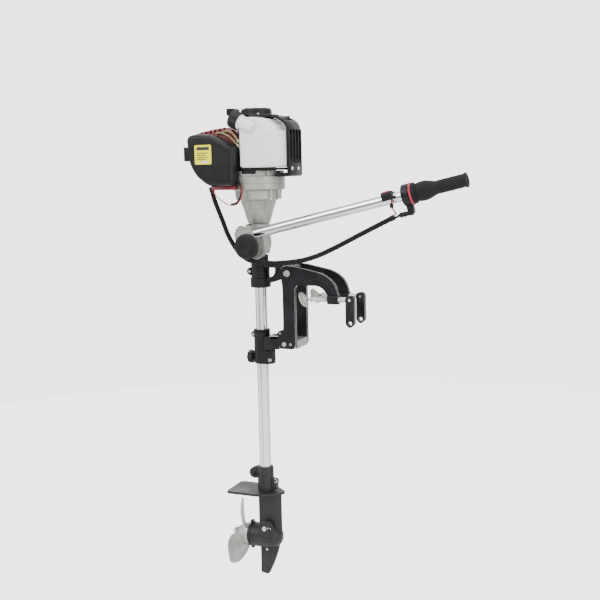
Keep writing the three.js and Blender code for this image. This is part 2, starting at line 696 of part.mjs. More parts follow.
function buildTopEnd(motor) {
  const fins = Array.from({ length: 7 }, (_, k) => {
    const x = -72 - 7.5 * k;
    return block([x - 1.3, x + 1.3], [-33, 33], [BORE_Z - 31, BORE_Z + 31]);
  });
  const cylinder = cut(
    join(rod([-121, 0, BORE_Z], [-62 - GAP, 0, BORE_Z], 25, 16), ...fins),
    rod([-112, 0, BORE_Z], [-50, 0, BORE_Z], BORE_R + FREE, 16),
  );
  piece(motor, 'cylinder', cylinder, castGrey);

  const wall = 2.5;
  const shroudSide = [
    [-139, 454, 14], [-137, 402, 12], [-129, 384, 12], [-116, 366, 12], [-98, 351, 10], [-82, 337, 8],
    [-26, 337], [-26, 455], [-37, 466, 6], [-50, 472, 12], [-88, 468, 20], [-124, 461, 12],
  ];
  const shroudHollow = shroudSide.map(([x, z, r]) => [-82 + (x + 82) * 0.955, 404 + (z - 404) * 0.96, r]);
  const slots = Array.from({ length: 7 }, (_, k) => {
    const x = -124 + 11 * k;
    return block([x, x + 5], [-50, -30], [458, 480]);
  });
  const shroud = cut(
    join(
      crownedSide(shroudSide, [[-46, 0.96], [-44, 0.985], [-40, 1], [52, 1], [56, 0.985], [58, 0.96]]),
      block([-72, -24], [-66, -44], [337.3, 343]),
    ),
    sidePlate(shroudHollow, [-46 + wall, 58 - wall]),
    ...slots,
  );
  const mouth = turned([[41.5, 330], [41.5, 480], [0, 480], [0, 330]], 'z', 16);
  const joint = block([-62, 10], [-36, 36], [360, 458]);
  const flanges = rod([0, 0, 320], [0, 0, 378], 60, 24);
  piece(motor, 'engine_shroud', cut(shroud, mouth, joint, flanges), redPlastic);

  const guardSide = [
    [-132, 452, 10], [-128, 402, 10], [-121, 384, 14], [-109, 366, 14], [-92, 353, 10], [-80, 346, 6],
    [-20, 346, 8], [-17, 427, 8], [-29, 434, 8], [-53, 446, 12], [-70, 454, 12], [-89, 457.5, 14],
    [-118, 457.5, 12],
  ];
  const inner = guardSide.map(([x, z, r]) => [-72 + (x + 72) * 0.95, 404 + (z - 404) * 0.95, r]);
  const guard = cut(
    join(
      crownedSide(guardSide, [[-84, 0.84], [-82.5, 0.9], [-78, 0.965], [-71, 1], [-46 - GAP, 1]]),
      block([-140.5, -126], [-76, -60], [400.5, 430.5]),
    ),
    crownedSide(inner, [[-81, 0.85], [-76, 0.95], [-69, 1], [-40, 1]]),
    block([-150, -120], [-73, -63], [405, 426]),
    flanges,
  );
  piece(motor, 'muffler_guard', guard, blackPlastic);
  const muffler = crownedSide(
    [[-116, 440, 12], [-116, 398, 10], [-84, 362, 10], [-34, 362, 10], [-34, 424, 12], [-70, 444, 12]],
    [[-75, 0.9], [-70, 1], [-53, 1], [-48, 0.92]],
  );
  piece(motor, 'muffler', muffler, castGrey);

  const cleaner = crownedSide(
    [[-104, 380, 12], [-20, 380, 12], [-20, 456, 14], [-104, 456, 14]],
    [[58 + GAP, 1], [88, 1], [95, 0.95], [97, 0.88]],
  );
  piece(motor, 'air_cleaner', cleaner, blackPlastic);
  const carburettor = cut(
    join(block([-56, -36], [37, 55], [400, 430]), rod([-46, 35, 415], [-46, 37, 415], 8, 10)),
    rod([-46, 30, 415], [-46, 60, 415], 5.5, 10),
  );
  piece(motor, 'carburettor', carburettor, castGrey);
}

function neckPoint(distance) {
  const [x, y, z] = NECK.from;
  const a = radians(NECK.angle);
  return [x - distance * Math.cos(a), y, z + distance * Math.sin(a)];
}

function buildTank(motor) {
  const { back, front, side, bottom, top } = TANK;
  const inside = 47;
  const plan = [
    [back, -side, 8], [front, -side, 26], [front, side, 26], [back, side, 8],
    [back, inside, 5], [44, inside, 20], [44, -inside, 20], [back, -inside, 5],
  ];
  const aboveSlope = [
    [26, top + 1], [48, 484.5], [62, 474], [70, 462], [front + 5, 457], [front + 5, top + 30],
    [26, top + 30],
  ];
  const slope = sidePlate(aboveSlope, [-90, 90]);
  const neck = rod(neckPoint(0), neckPoint(32), NECK.r, 16);
  const rounded = [
    [bottom, 0.93], [bottom + 2, 0.98], [bottom + 6, 1], [top - 6, 1], [top - 2, 0.98], [top, 0.93],
  ];
  const shell = cut(crownedFloor(plan, rounded), slope);
  const clearance = rod([0, 0, 455], [0, 0, 500], 41, 18);
  const tank = cut(
    join(shell, neck),
    rod(neckPoint(12), neckPoint(50), NECK.r - 3, 14),
    cut(clearance, block([-60, 60], [-90, 90], [484, 520])),
  );
  piece(motor, 'fuel_tank', tank, tankPlastic);

  const cap = cut(
    join(rod(neckPoint(24), neckPoint(43), 19.5, 18), rod(neckPoint(42.5), neckPoint(45), 12, 14)),
    rod(neckPoint(10), neckPoint(39), NECK.r + FREE, 16),
  );
  piece(motor, 'fuel_cap', cap, blackPlastic);
}

function buildStarter(motor) {
  const keepOut = rod(neckPoint(-6), neckPoint(60), 22, 16);
  const dome = [
    [0, 511], [29, 511], [33, 507.5], [34, 498], [46, 496.5], [48, 490.3], [44, 490.3], [42, 493],
    [29, 495], [28, 506], [0, 506],
  ];
  const rope = rod([-60, 0, 503], [-20, 0, 503], 3.2, 8);
  const cover = cut(turned(dome, 'z', 22), keepOut, rope);
  piece(motor, 'starter_cover', cover, blackPlastic);

  const shell = [
    [50, 495.5, 2], [59, 491.5, 5], [72, 487, 6], [83, 479.5, 6], [88.5, 468, 6], [89, 452], [89, 364, 3],
    [60, 364], [60, 372], [84.5, 372], [84.5, 452], [84, 466, 5], [79.5, 475.5, 5], [70, 482.5, 5],
    [57, 487.5, 5], [50, 489.5],
  ];
  const ribs = [-32, -16, 0, 16, 32].map((y) => block([88, 91], [y - 2, y + 2], [392, 464]));
  const guard = cut(
    join(
      sidePlate(shell, [-34, 34]),
      block([88, 91.5], [-34, 34], [366, 393]),
      ...ribs,
    ),
    block([68, 75], [-26, 26], [470, 510]),
    ...[-24, -8, 8, 24].map((y) => block([80, 89.5], [y - 5, y + 5], [400, 462])),
  );
  piece(motor, 'tank_guard', guard, blackPlastic);

  piece(motor, 'starter_rope', rod([-45, 0, 503], [-34, 0, 503], 1.8, 8), rubber);
  const handle = join(
    crownedFloor(
      [[-59.5, -30, 5], [-47, -30, 5], [-47, 16, 5], [-59.5, 16, 5]],
      [[497, 0.8], [500, 1], [509, 1], [512, 0.8]],
    ),
    block([-48, -45.3], [-6, 6], [498.5, 508]),
  );
  piece(motor, 'recoil_handle', handle, rubber);
}

function buildHoses(motor) {
  const feed = [
    [-15.5, -57, 428], [-24, -56, 437], [-36, -54, 448], [-48, -53, 455], [-60, -52, 459],
    [-74, -49.5, 459],
  ];
  const back = [
    [-15.5, -57, 437], [-21, -56, 445], [-28, -55, 454], [-36, -53.5, 460], [-46, -52, 463],
    [-56, -49.5, 462],
  ];
  piece(motor, 'fuel_hose_feed', hose(feed, 2.5, 10, 8), hoseRubber);
  piece(motor, 'fuel_hose_return', hose(back, 2.5, 10, 8), hoseRubber);

  // the corrugated sleeve of the throttle cable and the stop-switch wires, from engine to tiller
  const route = [
    [-84, -60, 344], [-79, -60, 322], [-70, -60, 298], [-58, -60, 269], [-47.5, -60.5, 243],
    [-37, -60.5, 224], [-24, -60.5, 206], [-7, -61, 191], [14, -62, 183], [40, -62, 180],
    [70, -62, 180], [100, -62, 183], [132, -61, 191], [166, -58, 205], [205, -54, 224],
    [245, -50, 243], [285, -47, 259], [324, -46, 273.5],
  ];
  piece(motor, 'throttle_conduit', hose(route, 6, 24, 8), blackPlastic);
}

function buildMotor() {
  const motor = new THREE.Group();
  motor.position.x = SHAFT_X;
  model.add(motor);
  piece(motor, 'shaft_tube', tube(TUBE_R, TUBE_BORE_R, [TUBE_BOTTOM, TUBE_TOP], 'z', 18), chrome);
  buildLeg(motor);
  buildKnuckle(motor);
  buildBottomEnd(motor);
  buildTopEnd(motor);
  buildTank(motor);
  buildStarter(motor);
  buildHoses(motor);
}

buildClamp();
buildClampScrew(-1, 'near');
buildClampScrew(1, 'far');
buildSwivel();
buildMotor();

export default model;
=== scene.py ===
import json
from math import atan, cos, pi, radians, sin, sqrt, tau

import bmesh
import bpy
from mathutils import Matrix, Vector


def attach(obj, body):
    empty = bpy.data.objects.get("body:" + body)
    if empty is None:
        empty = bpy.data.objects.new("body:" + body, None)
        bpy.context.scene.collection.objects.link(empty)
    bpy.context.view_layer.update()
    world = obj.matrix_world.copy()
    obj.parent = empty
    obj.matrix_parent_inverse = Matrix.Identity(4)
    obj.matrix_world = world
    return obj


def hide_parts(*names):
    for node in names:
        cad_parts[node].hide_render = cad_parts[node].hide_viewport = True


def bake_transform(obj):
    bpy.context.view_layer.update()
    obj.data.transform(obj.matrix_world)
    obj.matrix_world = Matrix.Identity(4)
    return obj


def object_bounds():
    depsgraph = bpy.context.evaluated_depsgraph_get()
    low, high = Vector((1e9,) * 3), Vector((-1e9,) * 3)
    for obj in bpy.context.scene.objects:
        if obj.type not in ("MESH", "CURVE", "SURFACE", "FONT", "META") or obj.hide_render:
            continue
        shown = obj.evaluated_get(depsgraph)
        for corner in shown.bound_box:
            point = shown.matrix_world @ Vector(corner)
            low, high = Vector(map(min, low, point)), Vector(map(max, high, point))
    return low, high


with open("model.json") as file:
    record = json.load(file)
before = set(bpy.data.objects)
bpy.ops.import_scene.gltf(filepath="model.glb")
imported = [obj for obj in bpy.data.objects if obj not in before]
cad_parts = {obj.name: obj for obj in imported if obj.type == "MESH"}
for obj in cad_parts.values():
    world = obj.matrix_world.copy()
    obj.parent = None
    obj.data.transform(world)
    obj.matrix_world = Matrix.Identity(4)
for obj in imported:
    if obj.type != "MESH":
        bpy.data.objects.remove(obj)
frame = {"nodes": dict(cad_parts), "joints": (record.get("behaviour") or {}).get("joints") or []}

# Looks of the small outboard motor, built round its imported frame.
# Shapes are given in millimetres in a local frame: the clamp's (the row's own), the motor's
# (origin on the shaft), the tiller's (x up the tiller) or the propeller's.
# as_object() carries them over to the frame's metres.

CAD_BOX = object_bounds()
MM = 0.001
SHARP, SMOOTH = 32, 60
JOINTS = {j["name"]: j for j in frame["joints"]}
X, Y, Z = (Vector(axis) for axis in ((1, 0, 0), (0, 1, 0), (0, 0, 1)))


# ---------------------------------------------------------------- local frames and shared sizes

def at_point(point):
    return Matrix.Translation(Vector(point))


def tiller_frame():
    along = Vector(JOINTS["throttle_twist"]["axis"]).normalized()
    across = Y
    turn = Matrix((along, across, along.cross(across))).transposed().to_4x4()
    return at_point(JOINTS["tiller_fold"]["pos_m"]) @ turn


CLAMP = Matrix.Identity(4)
MOTOR = at_point((JOINTS["steering"]["pos_m"][0], 0, 0))
TILLER = tiller_frame()
TILLER_BAR = TILLER @ Matrix.Translation((-0.00915, 0, 0.00214))
PROP = at_point(JOINTS["propeller_spin"]["pos_m"])

SHAFT_X = MOTOR.translation.x / MM
TUBE_R = 13
PLATE_Y = 29
PLATE_T = 9
SCREW_Y = 33.5
SCREW_Z = 103.5
TILT = (JOINTS["tilt"]["pos_m"][0] / MM, JOINTS["tilt"]["pos_m"][2] / MM)
TILLER_Y = -46
TILLER_Z = 21.5
TILLER_R = 11
PIVOT = (3.4, 217)
PLATE_Z = -346
TANK = {"back": -13, "front": 83, "side": 65, "bottom": 384, "top": 490}
CAP_R = 19.2
NECK_BASE = (8, -58, 472)
NECK_ANGLE = radians(24)
NECK_DIR = (-cos(NECK_ANGLE), 0, sin(NECK_ANGLE))


# ---------------------------------------------------------------- materials

def feed(tree, node, **inputs):
    """Sets a node's inputs, or links them to a socket. An underscore stands for a space."""
    for name, value in inputs.items():
        socket = node.inputs[name.replace("_", " ")]
        if isinstance(value, bpy.types.NodeSocket):
            tree.links.new(value, socket)
        else:
            socket.default_value = value


def add(tree, kind, **inputs):
    node = tree.nodes.new(f"ShaderNode{kind}")
    feed(tree, node, **inputs)
    return node


class Nodes:
    """A short way to write one material's node tree."""

    def __init__(self, name):
        self.material = bpy.data.materials.new(name)
        self.material.use_nodes = True
        self.tree = self.material.node_tree
        self.shader = self.tree.nodes["Principled BSDF"]
        self.coords = add(self.tree, "TexCoord").outputs["Object"]

    def noise(self, scale, detail=3.0, stretch=None):
        source = self.coords
        if stretch:
            source = add(self.tree, "Mapping", Scale=stretch, Vector=source).outputs["Vector"]
        node = add(self.tree, "TexNoise", Scale=scale, Detail=detail, Roughness=0.5, Vector=source)
        return node.outputs["Fac"]

    def spread(self, value, low, high, to_low=0.0, to_high=1.0):
        node = add(self.tree, "MapRange", From_Min=low, From_Max=high, To_Min=to_low,
            To_Max=to_high, Value=value)
        node.interpolation_type = "SMOOTHSTEP"
        return node.outputs["Result"]

    def mix(self, factor, first, second):
        node = add(self.tree, "Mix", Factor=factor)
        node.data_type = "RGBA"
        for name, value in (("A", first), ("B", second)):
            socket = next(s for s in node.inputs if s.name == name and s.type == "RGBA")
            if isinstance(value, tuple):
                socket.default_value = value
            else:
                self.tree.links.new(value, socket)
        return next(s for s in node.outputs if s.type == "RGBA")

    def scuffs(self):
        """Small rubbed spots, gathered in a few places."""
        node = add(self.tree, "Math")
        node.operation = "MULTIPLY"
        spots = self.spread(self.noise(420, 4.0), 0.56, 0.72, 0.0, 0.55)
        for socket, value in zip(node.inputs, (self.spread(self.noise(28, 2.0), 0.5, 0.72), spots)):
            self.tree.links.new(value, socket)
        return node.outputs["Value"]

    def surface(self, **inputs):
        feed(self.tree, self.shader, **inputs)


def scaled(color, factor):
    return tuple(min(1.0, c * factor) for c in color[:3]) + (1,)


def finish(color, roughness, metallic=0.0, mottle=0.15, broad=45, grit=900, grain=0.25,
        depth=0.0002, stretch=None, wear=None, coat=0.0, scatter=0.0, shine=0.5):
    """A painted, moulded, cast or plated surface: mottled colour, uneven gloss, grain and rubbed spots."""
    n = Nodes("finish")
    patches = n.spread(n.noise(broad, 5.0), 0.3, 0.7)
    texture = n.noise(grit, 3.0, stretch)
    tone = n.mix(patches, scaled(color, 1 - mottle), scaled(color, 1 + mottle))
    tone = n.mix(n.spread(texture, 0.35, 0.75, 0.0, 0.5), tone, scaled(color, 1 - 1.5 * mottle))
    if wear:
        tone = n.mix(n.scuffs(), tone, (wear, wear, wear, 1) if isinstance(wear, float)
            else (*wear, 1))
    bump = add(n.tree, "Bump", Strength=grain, Distance=depth, Height=texture)
    n.surface(Base_Color=tone, Metallic=metallic, Normal=bump.outputs["Normal"], Coat_Weight=coat,
        Roughness=n.spread(patches, 0.0, 1.0, roughness * 0.88, min(1.0, roughness * 1.14)),
        Specular_IOR_Level=shine, Coat_Roughness=0.12)
    if scatter:
        n.surface(Subsurface_Weight=scatter, Subsurface_Radius=(1.0, 1.0, 0.9),
            Subsurface_Scale=0.012)
    return n.material


M = {
    "anodised": finish((0.008, 0.0085, 0.0105), 0.4, 0.15, mottle=0.25, broad=30, grit=700,
        grain=0.12, depth=0.00008, stretch=(0.25, 1, 1), shine=0.28),
    # Bright bare metal for the clamp plates' rims: partly a milled edge, partly a painted highlight along
    # each edge.
    "milled_rim_highlight": finish((0.62, 0.62, 0.62), 0.28, 0.9, grit=1600, grain=0.2, stretch=(1, 8, 1),
        depth=0.00005),
    "cast_black": finish((0.006, 0.006, 0.0065), 0.46, mottle=0.3, grit=650, grain=0.5,
        depth=0.0003, wear=0.03, shine=0.26),
    "cast_grey": finish((0.36, 0.36, 0.335), 0.42, 0.55, mottle=0.14, broad=60, grit=1100,
        grain=0.5, depth=0.00025, wear=(0.6, 0.6, 0.58)),
    "machined": finish((0.33, 0.34, 0.33), 0.36, 0.6, mottle=0.2, grit=500, stretch=(0.2, 1, 1),
        grain=0.3, depth=0.0001),
    "pad_metal": finish((0.42, 0.41, 0.365), 0.45, 0.5, grit=1200, grain=0.5,
        wear=(0.62, 0.62, 0.6)),
    "blade": finish((0.5, 0.5, 0.475), 0.34, 0.6, mottle=0.1, broad=38, grit=1400, depth=0.0001,
        wear=(0.75, 0.75, 0.74)),
    "charcoal": finish((0.02, 0.0205, 0.021), 0.44, 0.05, mottle=0.16, broad=35, grit=800,
        grain=0.35, depth=0.00018, wear=0.06, shine=0.3),
    "steel": finish((0.63, 0.64, 0.65), 0.24, 0.95, mottle=0.08, grit=1500, grain=0.2,
        depth=0.00006),
    "chrome": finish((0.86, 0.865, 0.875), 0.11, 1.0, mottle=0.03, broad=20, grit=300, grain=0.05,
        depth=0.00004, stretch=(6, 6, 0.05)),
    "plastic": finish((0.0075, 0.008, 0.0088), 0.42, mottle=0.2, broad=40, grit=1500, grain=0.35,
        depth=0.00012, wear=0.02, shine=0.24),
    "dull_plastic": finish((0.007, 0.0072, 0.0078), 0.55, mottle=0.2, grit=1200, grain=0.5,
        shine=0.22),
    "lever_paint": finish((0.006, 0.006, 0.0065), 0.3, mottle=0.2, grit=500, grain=0.15, coat=0.15,
        wear=0.04, shine=0.3),
    "crimson": finish((0.16, 0.003, 0.014), 0.26, mottle=0.08, grit=240, grain=0.08, coat=0.5,
        wear=(0.34, 0.03, 0.05)),
    "red": finish((0.34, 0.006, 0.04), 0.32, mottle=0.1, grit=600, grain=0.15, coat=0.2),
    "tank": finish((0.9, 0.9, 0.87), 0.36, mottle=0.035, broad=16, grit=500, grain=0.12,
        depth=0.00015, scatter=0.35),
    "rubber": finish((0.007, 0.007, 0.0075), 0.6, mottle=0.25, grit=1300, grain=0.5, shine=0.22),
    "hose": finish((0.24, 0.2, 0.085), 0.4, mottle=0.3, broad=90, grit=700, grain=0.2),
    "bronze": finish((0.45, 0.32, 0.14), 0.35, 0.9, grit=1000),
    "muffler": finish((0.2, 0.17, 0.14), 0.5, 0.8, mottle=0.35, grit=700),
    "sticker": finish((0.86, 0.8, 0.0), 0.35, mottle=0.06, grit=300, grain=0.05, coat=0.3),
    "sticker_white": finish((0.75, 0.76, 0.72), 0.35, mottle=0.1, grit=300, grain=0.05, coat=0.3),
    "ink": finish((0.03, 0.03, 0.025), 0.4, mottle=0.2, grit=300, grain=0.05),
    "wire_red": finish((0.5, 0.02, 0.03), 0.35, mottle=0.15, grit=600),
    "wire_white": finish((0.75, 0.74, 0.7), 0.35, mottle=0.12, grit=600),
}
for key, material in M.items():
    material.name = key


# ---------------------------------------------------------------- shapes, as bmeshes in millimetres

def rounded(points, steps=7):
    """An outline of (a, b) or (a, b, reach) corners, each rounded over its reach along both edges."""
    result = []
    count = len(points)
    for k, (a, b, *rest) in enumerate(points):
        here = Vector((a, b))
        if not rest:
            result.append((a, b))
            continue
        ends = []
        for other in (points[k - 1], points[(k + 1) % count]):
            side = Vector(other[:2]) - here
            ends.append(here + side * min(rest[0] / side.length, 0.45))
        for s in range(steps + 1):
            t = s / steps
            p = ends[0] * (1 - t) ** 2 + here * 2 * t * (1 - t) + ends[1] * t * t
            result.append((p.x, p.y))
    return result


TO_SPACE = {
    "xy": lambda a,
    b,
    h: (a, b, h),
    "xz": lambda a,
    b,
    h: (a, h, b),
    "yz": lambda a,
    b,
    h: (h, a, b),
}


def circle(radius, height, sides):
    return [(radius * cos(tau * k / sides), radius * sin(tau * k / sides), height)
        for k in range(sides)]


def skin(bm, rows, capped=True):
    """Faces between closed rows of points, all with one count, and a cap on each end."""
    made = [[bm.verts.new(p) for p in row] for row in rows]
    for low, high in zip(made, made[1:]):
        for k in range(len(low)):
            j = (k + 1) % len(low)
            bm.faces.new((low[k], low[j], high[j], high[k]))
    if capped:
        bm.faces.new(list(reversed(made[0])))
        bm.faces.new(made[-1])
    return bm


def prism(points, low, high, plane="xz", edge=0.0, segments=2, edge_material=0):
    """An outline extruded from low to high, with both rims rounded by edge."""
    ring = rounded(points)
    bm = skin(bmesh.new(), [[TO_SPACE[plane](a, b, h) for a, b in ring] for h in (low, high)])
    if edge:
        axis = {"xy": 2, "xz": 1, "yz": 0}[plane]
        rims = [e for e in bm.edges if abs(e.verts[0].co[axis] - e.verts[1].co[axis]) < 1e-5]
        made = bmesh.ops.bevel(bm, geom=rims, offset=edge, segments=segments, profile=0.5,
            affect="EDGES", clamp_overlap=True)
        for face in made["faces"]:
            face.material_index = edge_material
    return bm


def box(x, y, z, edge=0.8, segments=2):
    bm = bmesh.new()
    bmesh.ops.create_cube(bm, size=1)
    size = Vector((x[1] - x[0], y[1] - y[0], z[1] - z[0]))
    middle = Vector(((x[0] + x[1]) / 2, (y[0] + y[1]) / 2, (z[0] + z[1]) / 2))
    bm.transform(Matrix.Translation(middle) @ Matrix.Diagonal((*size, 1)))
    if edge:
        bmesh.ops.bevel(bm, geom=list(bm.edges), offset=edge, segments=segments, profile=0.5,
            affect="EDGES", clamp_overlap=True)
    return bm


def aim(origin, direction):
    """Takes local z to the direction, from the origin."""
    turn = Z.rotation_difference(Vector(direction).normalized())
    return Matrix.Translation(Vector(origin)) @ turn.to_matrix().to_4x4()


def lathe(profile, origin=(0, 0, 0), direction=Z, sides=56, loop=False):
    """A turned piece from (radius, height) points; radius 0 closes it on the axis."""
    bm = bmesh.new()
    rows = []
    for r, h in profile:
        if r < 1e-6:
            rows.append([bm.verts.new((0, 0, h))])
        else:
            rows.append([bm.verts.new(p) for p in circle(r, h, sides)])
    pairs = list(zip(rows, rows[1:])) + ([(rows[-1], rows[0])] if loop else [])
    for low, high in pairs:
        for k in range(sides):
            j = (k + 1) % sides
            corners = [low[k % len(low)], low[j % len(low)], high[j % len(high)],
                high[k % len(high)]]
            unique = list(dict.fromkeys(corners))
            if len(unique) > 2:
                bm.faces.new(unique)
    bm.transform(aim(origin, direction))
    return bm


def bar(start, end, radius, edge=0.6, sides=40, end_radius=None):
    """A round bar with softened ends; a second radius tapers it."""
    far = radius if end_radius is None else end_radius
    along = Vector(end) - Vector(start)
    length = along.length
    profile = [(0, 0), (radius - edge, 0), (radius - 0.3 * edge, 0.3 * edge), (radius, edge),
        (far, length - edge), (far - 0.3 * edge, length - 0.3 * edge), (far - edge, length),
        (0, length)]
    return lathe(profile, start, along, sides)


def both_sides(points):
    """An outline from its half, mirrored in its second coordinate."""
    return [*points, *((a, -b, *rest) for a, b, *rest in reversed(points))]


def crossbar(x, z, reach, radius, edge=0.6, sides=40):
    """A bar across the object, as far to both sides."""
    return bar((x, -reach, z), (x, reach, z), radius, edge, sides)


def well(low, high, radius, sides=40):
    """A cutter round the shaft's axis."""
    return bar((0, 0, low), (0, 0, high), radius, 0.1, sides)


def round_shaft(make, turns):
    """One new copy of a shape for each part of a turn, turned that far round the shaft's axis."""
    copies = []
    for turn in turns:
        copies.append(make())
        copies[-1].transform(Matrix.Rotation(tau * turn, 4, "Z"))
    return copies


def ring(outer, inner, low, high, origin=(0, 0, 0), direction=Z, edge=0.6, sides=56):
    """A tube or collar with softened rims."""
    profile = [(inner, low), (outer - edge, low), (outer, low + edge), (outer, high - edge),
        (outer - edge, high), (inner, high)]
    return lathe(profile, origin, direction, sides, loop=True)


def ball(radius, centre, sides=32, rows=12):
    turns = (pi * k / rows - pi / 2 for k in range(1, rows))
    profile = [(0, -radius), *((radius * cos(a), radius * sin(a)) for a in turns), (0, radius)]
    return lathe(profile, centre, Z, sides)


def fluted(layers, flutes, sides, origin, direction):
    """A turned knob with soft flutes, from (height, radius, flute's depth) layers."""
    rows = []
    for h, radius, depth in layers:
        spokes = ((a, radius + depth * cos(flutes * a))
            for a in (tau * k / sides for k in range(sides)))
        rows.append([(r * cos(a), r * sin(a), h) for a, r in spokes])
    bm = skin(bmesh.new(), rows)
    bm.transform(aim(origin, direction))
    return bm


def polygon_bar(start, direction, radius, height, corners=6, edge=0.7):
    """A hexagon head or nut, with its corners turned off."""
    layers = ((0, radius), (height - edge, radius), (height, radius - edge))
    bm = skin(bmesh.new(), [circle(r, h, corners) for h, r in layers])
    bm.transform(aim(start, direction))
    return bm


def cap_screw(start, direction, radius, height):
    """A socket-head screw's head with its hexagon socket."""
    sides, socket = 36, 0.52 * radius
    layers = ((radius, 0), (radius, height * 0.85), (radius * 0.9, height))
    rows = [circle(r, h, sides) for r, h in layers]
    for h in (height, height * 0.45):
        turns = (tau * k / sides for k in range(sides))
        spokes = ((a, socket * cos(pi / 6) / cos(a % (pi / 3) - pi / 6)) for a in turns)
        rows.append([(r * cos(a), r * sin(a), h) for a, r in spokes])
    bm = skin(bmesh.new(), rows)
    bm.transform(aim(start, direction))
    return bm


def spline(points, per_span=6):
    """A smooth line through the points, as a list of points."""
    p = [Vector(q) for q in points]
    p = [2 * p[0] - p[1], *p, 2 * p[-1] - p[-2]]
    line = []
    for k in range(1, len(p) - 2):
        for s in range(per_span):
            t = s / per_span
            a, b, c, d = p[k - 1:k + 3]
            line.append(0.5 * (2 * b + (c - a) * t + (2 * a - 5 * b + 4 * c - d) * t * t
                + (3 * b - a - 3 * c + d) * t ** 3))
    return [*line, p[-2]]


def sweep(line, radius, sides=16):
    """A round tube along a line. The radius is a number or a function of the distance along it."""
    line = [Vector(p) for p in line]
    size = radius if callable(radius) else lambda distance: radius
    bm = bmesh.new()
    normal = Y
    rows = []
    distance = 0.0
    for k, here in enumerate(line):
        ahead = (line[min(k + 1, len(line) - 1)] - line[max(k - 1, 0)]).normalized()
        normal = (normal - ahead * normal.dot(ahead)).normalized()
        other = ahead.cross(normal)
        if k:
            distance += (here - line[k - 1]).length
        r = size(distance)
        rows.append([tuple(here + normal * r * cos(a) + other * r * sin(a))
            for a in (tau * j / sides for j in range(sides))])
    return skin(bm, rows)


def evenly(line, step):
    """Points a step apart along a line."""
    result = [line[0].copy()]
    left = step
    for a, b in zip(line, line[1:]):
        length = (b - a).length
        while left <= length:
            result.append(a.lerp(b, left / length))
            left += step
        left -= length
    return result


# ---------------------------------------------------------------- from bmeshes to pieces

def as_object(name, parts, place, materials):
    """One object from one bmesh or several, each optionally paired with its material's index."""
    mesh = bpy.data.meshes.new(name)
    whole = bmesh.new()
    for part in parts if isinstance(parts, list) else [parts]:
        bm, index = part if isinstance(part, tuple) else (part, None)
        bmesh.ops.recalc_face_normals(bm, faces=bm.faces)
        if index is not None:
            for face in bm.faces:
                face.material_index = index
        scrap = bpy.data.meshes.new("scrap")
        bm.to_mesh(scrap)
        bm.free()
        whole.from_mesh(scrap)
        bpy.data.meshes.remove(scrap)
    whole.transform(place @ Matrix.Scale(MM, 4))
    whole.to_mesh(mesh)
    whole.free()
    for key in materials:
        mesh.materials.append(M[key])
    obj = bpy.data.objects.new(name, mesh)
    bpy.context.scene.collection.objects.link(obj)
    return obj


def settle(obj, angle=SHARP):
    """Applies the modifiers, smooths the faces and keeps edges sharper than the angle."""
    if obj.modifiers:
        graph = bpy.context.evaluated_depsgraph_get()
        mesh = bpy.data.meshes.new_from_object(obj.evaluated_get(graph))
        obj.modifiers.clear()
        obj.data = mesh
    obj.data.shade_smooth()
    obj.data.set_sharp_from_angle(angle=radians(angle))


def subtract(obj, cutters, place):
    for k, cutter in enumerate(cutters):
        tool = as_object(f"cutter_{k}", cutter, place, [])
        modifier = obj.modifiers.new("cut", "BOOLEAN")
        modifier.operation = "DIFFERENCE"
        modifier.solver = "EXACT"
        modifier.object = tool
        settle(obj)
        bpy.data.objects.remove(tool)


def soften(obj, width, segments=2, limit=35):
    modifier = obj.modifiers.new("soft", "BEVEL")
    modifier.width = width * MM
    modifier.segments = segments
    modifier.limit_method = "ANGLE"
    modifier.angle_limit = radians(limit)


def piece(name, materials, parts, body="motor", place=MOTOR, replaces=None, cuts=(), soft=0.0,
        angle=SHARP, slot=None):
    """Makes one visible piece that rides on a body, and stands for a CAD node if one is named."""
    keys = [materials] if isinstance(materials, str) else materials
    obj = as_object(name, parts, place, keys)
    subtract(obj, cuts, place)
    if soft:
        soften(obj, soft)
    settle(obj, angle)
    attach(obj, body)
    if replaces:
        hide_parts(replaces)
    return obj


def shown(node, *arguments, **options):
    """The visible piece of one CAD node, with the node's own name."""
    return piece(f"{node}_fine", *arguments, replaces=node, **options)


# ---------------------------------------------------------------- camera, floor and light

CAMERA_PLACE = (0.8304, -1.9643, 0.3763)
SEEN_WORLD, SEEN_FLOOR = 3.2, 2.7
FLOOR_R, FLOOR_GAP = 2.3, 0.03
BANDS = [(-124, 1.0), (-114, 0.3), (-100, 0.3), (-92, 1.0), (24, 1.0), (32, 0.03), (46, 0.03),
    (54, 1.0), (150, 1.0), (158, 0.08), (172, 0.08), (178, 1.0)]
LIGHTS = [
    ("key", (-0.9, -2.0, 1.9), 0.1, (1.6, 1.6), 46),
    ("fill", (2.1, -1.0, 0.9), 0, (1.2, 2.0), 22),
    ("top", (0, 0.3, 2.4), 0, (2.0, 2.0), 24),
    ("rim", (-1.8, 1.6, 0.9), 0.1, (1.0, 2.0), 14),
]


def make_camera():
    """Stands in front of the tiller side and a little above, and looks down by 7.5 degrees."""
    azimuth, pitch, roll = (radians(a) for a in (23, 7.5, -1.2))
    back = Vector((sin(azimuth) * cos(pitch), -cos(azimuth) * cos(pitch), sin(pitch)))
    level = Vector((cos(azimuth), sin(azimuth), 0))
    right = level * cos(roll) + back.cross(level) * sin(roll)
    data = bpy.data.cameras.new("camera")
    data.sensor_width = 36
    data.lens = 59.1
    camera = bpy.data.objects.new("camera", data)
    turn = Matrix((right, back.cross(right), back)).transposed().to_4x4()
    camera.matrix_world = at_point(CAMERA_PLACE) @ turn
    bpy.context.scene.collection.objects.link(camera)
    bpy.context.scene.camera = camera


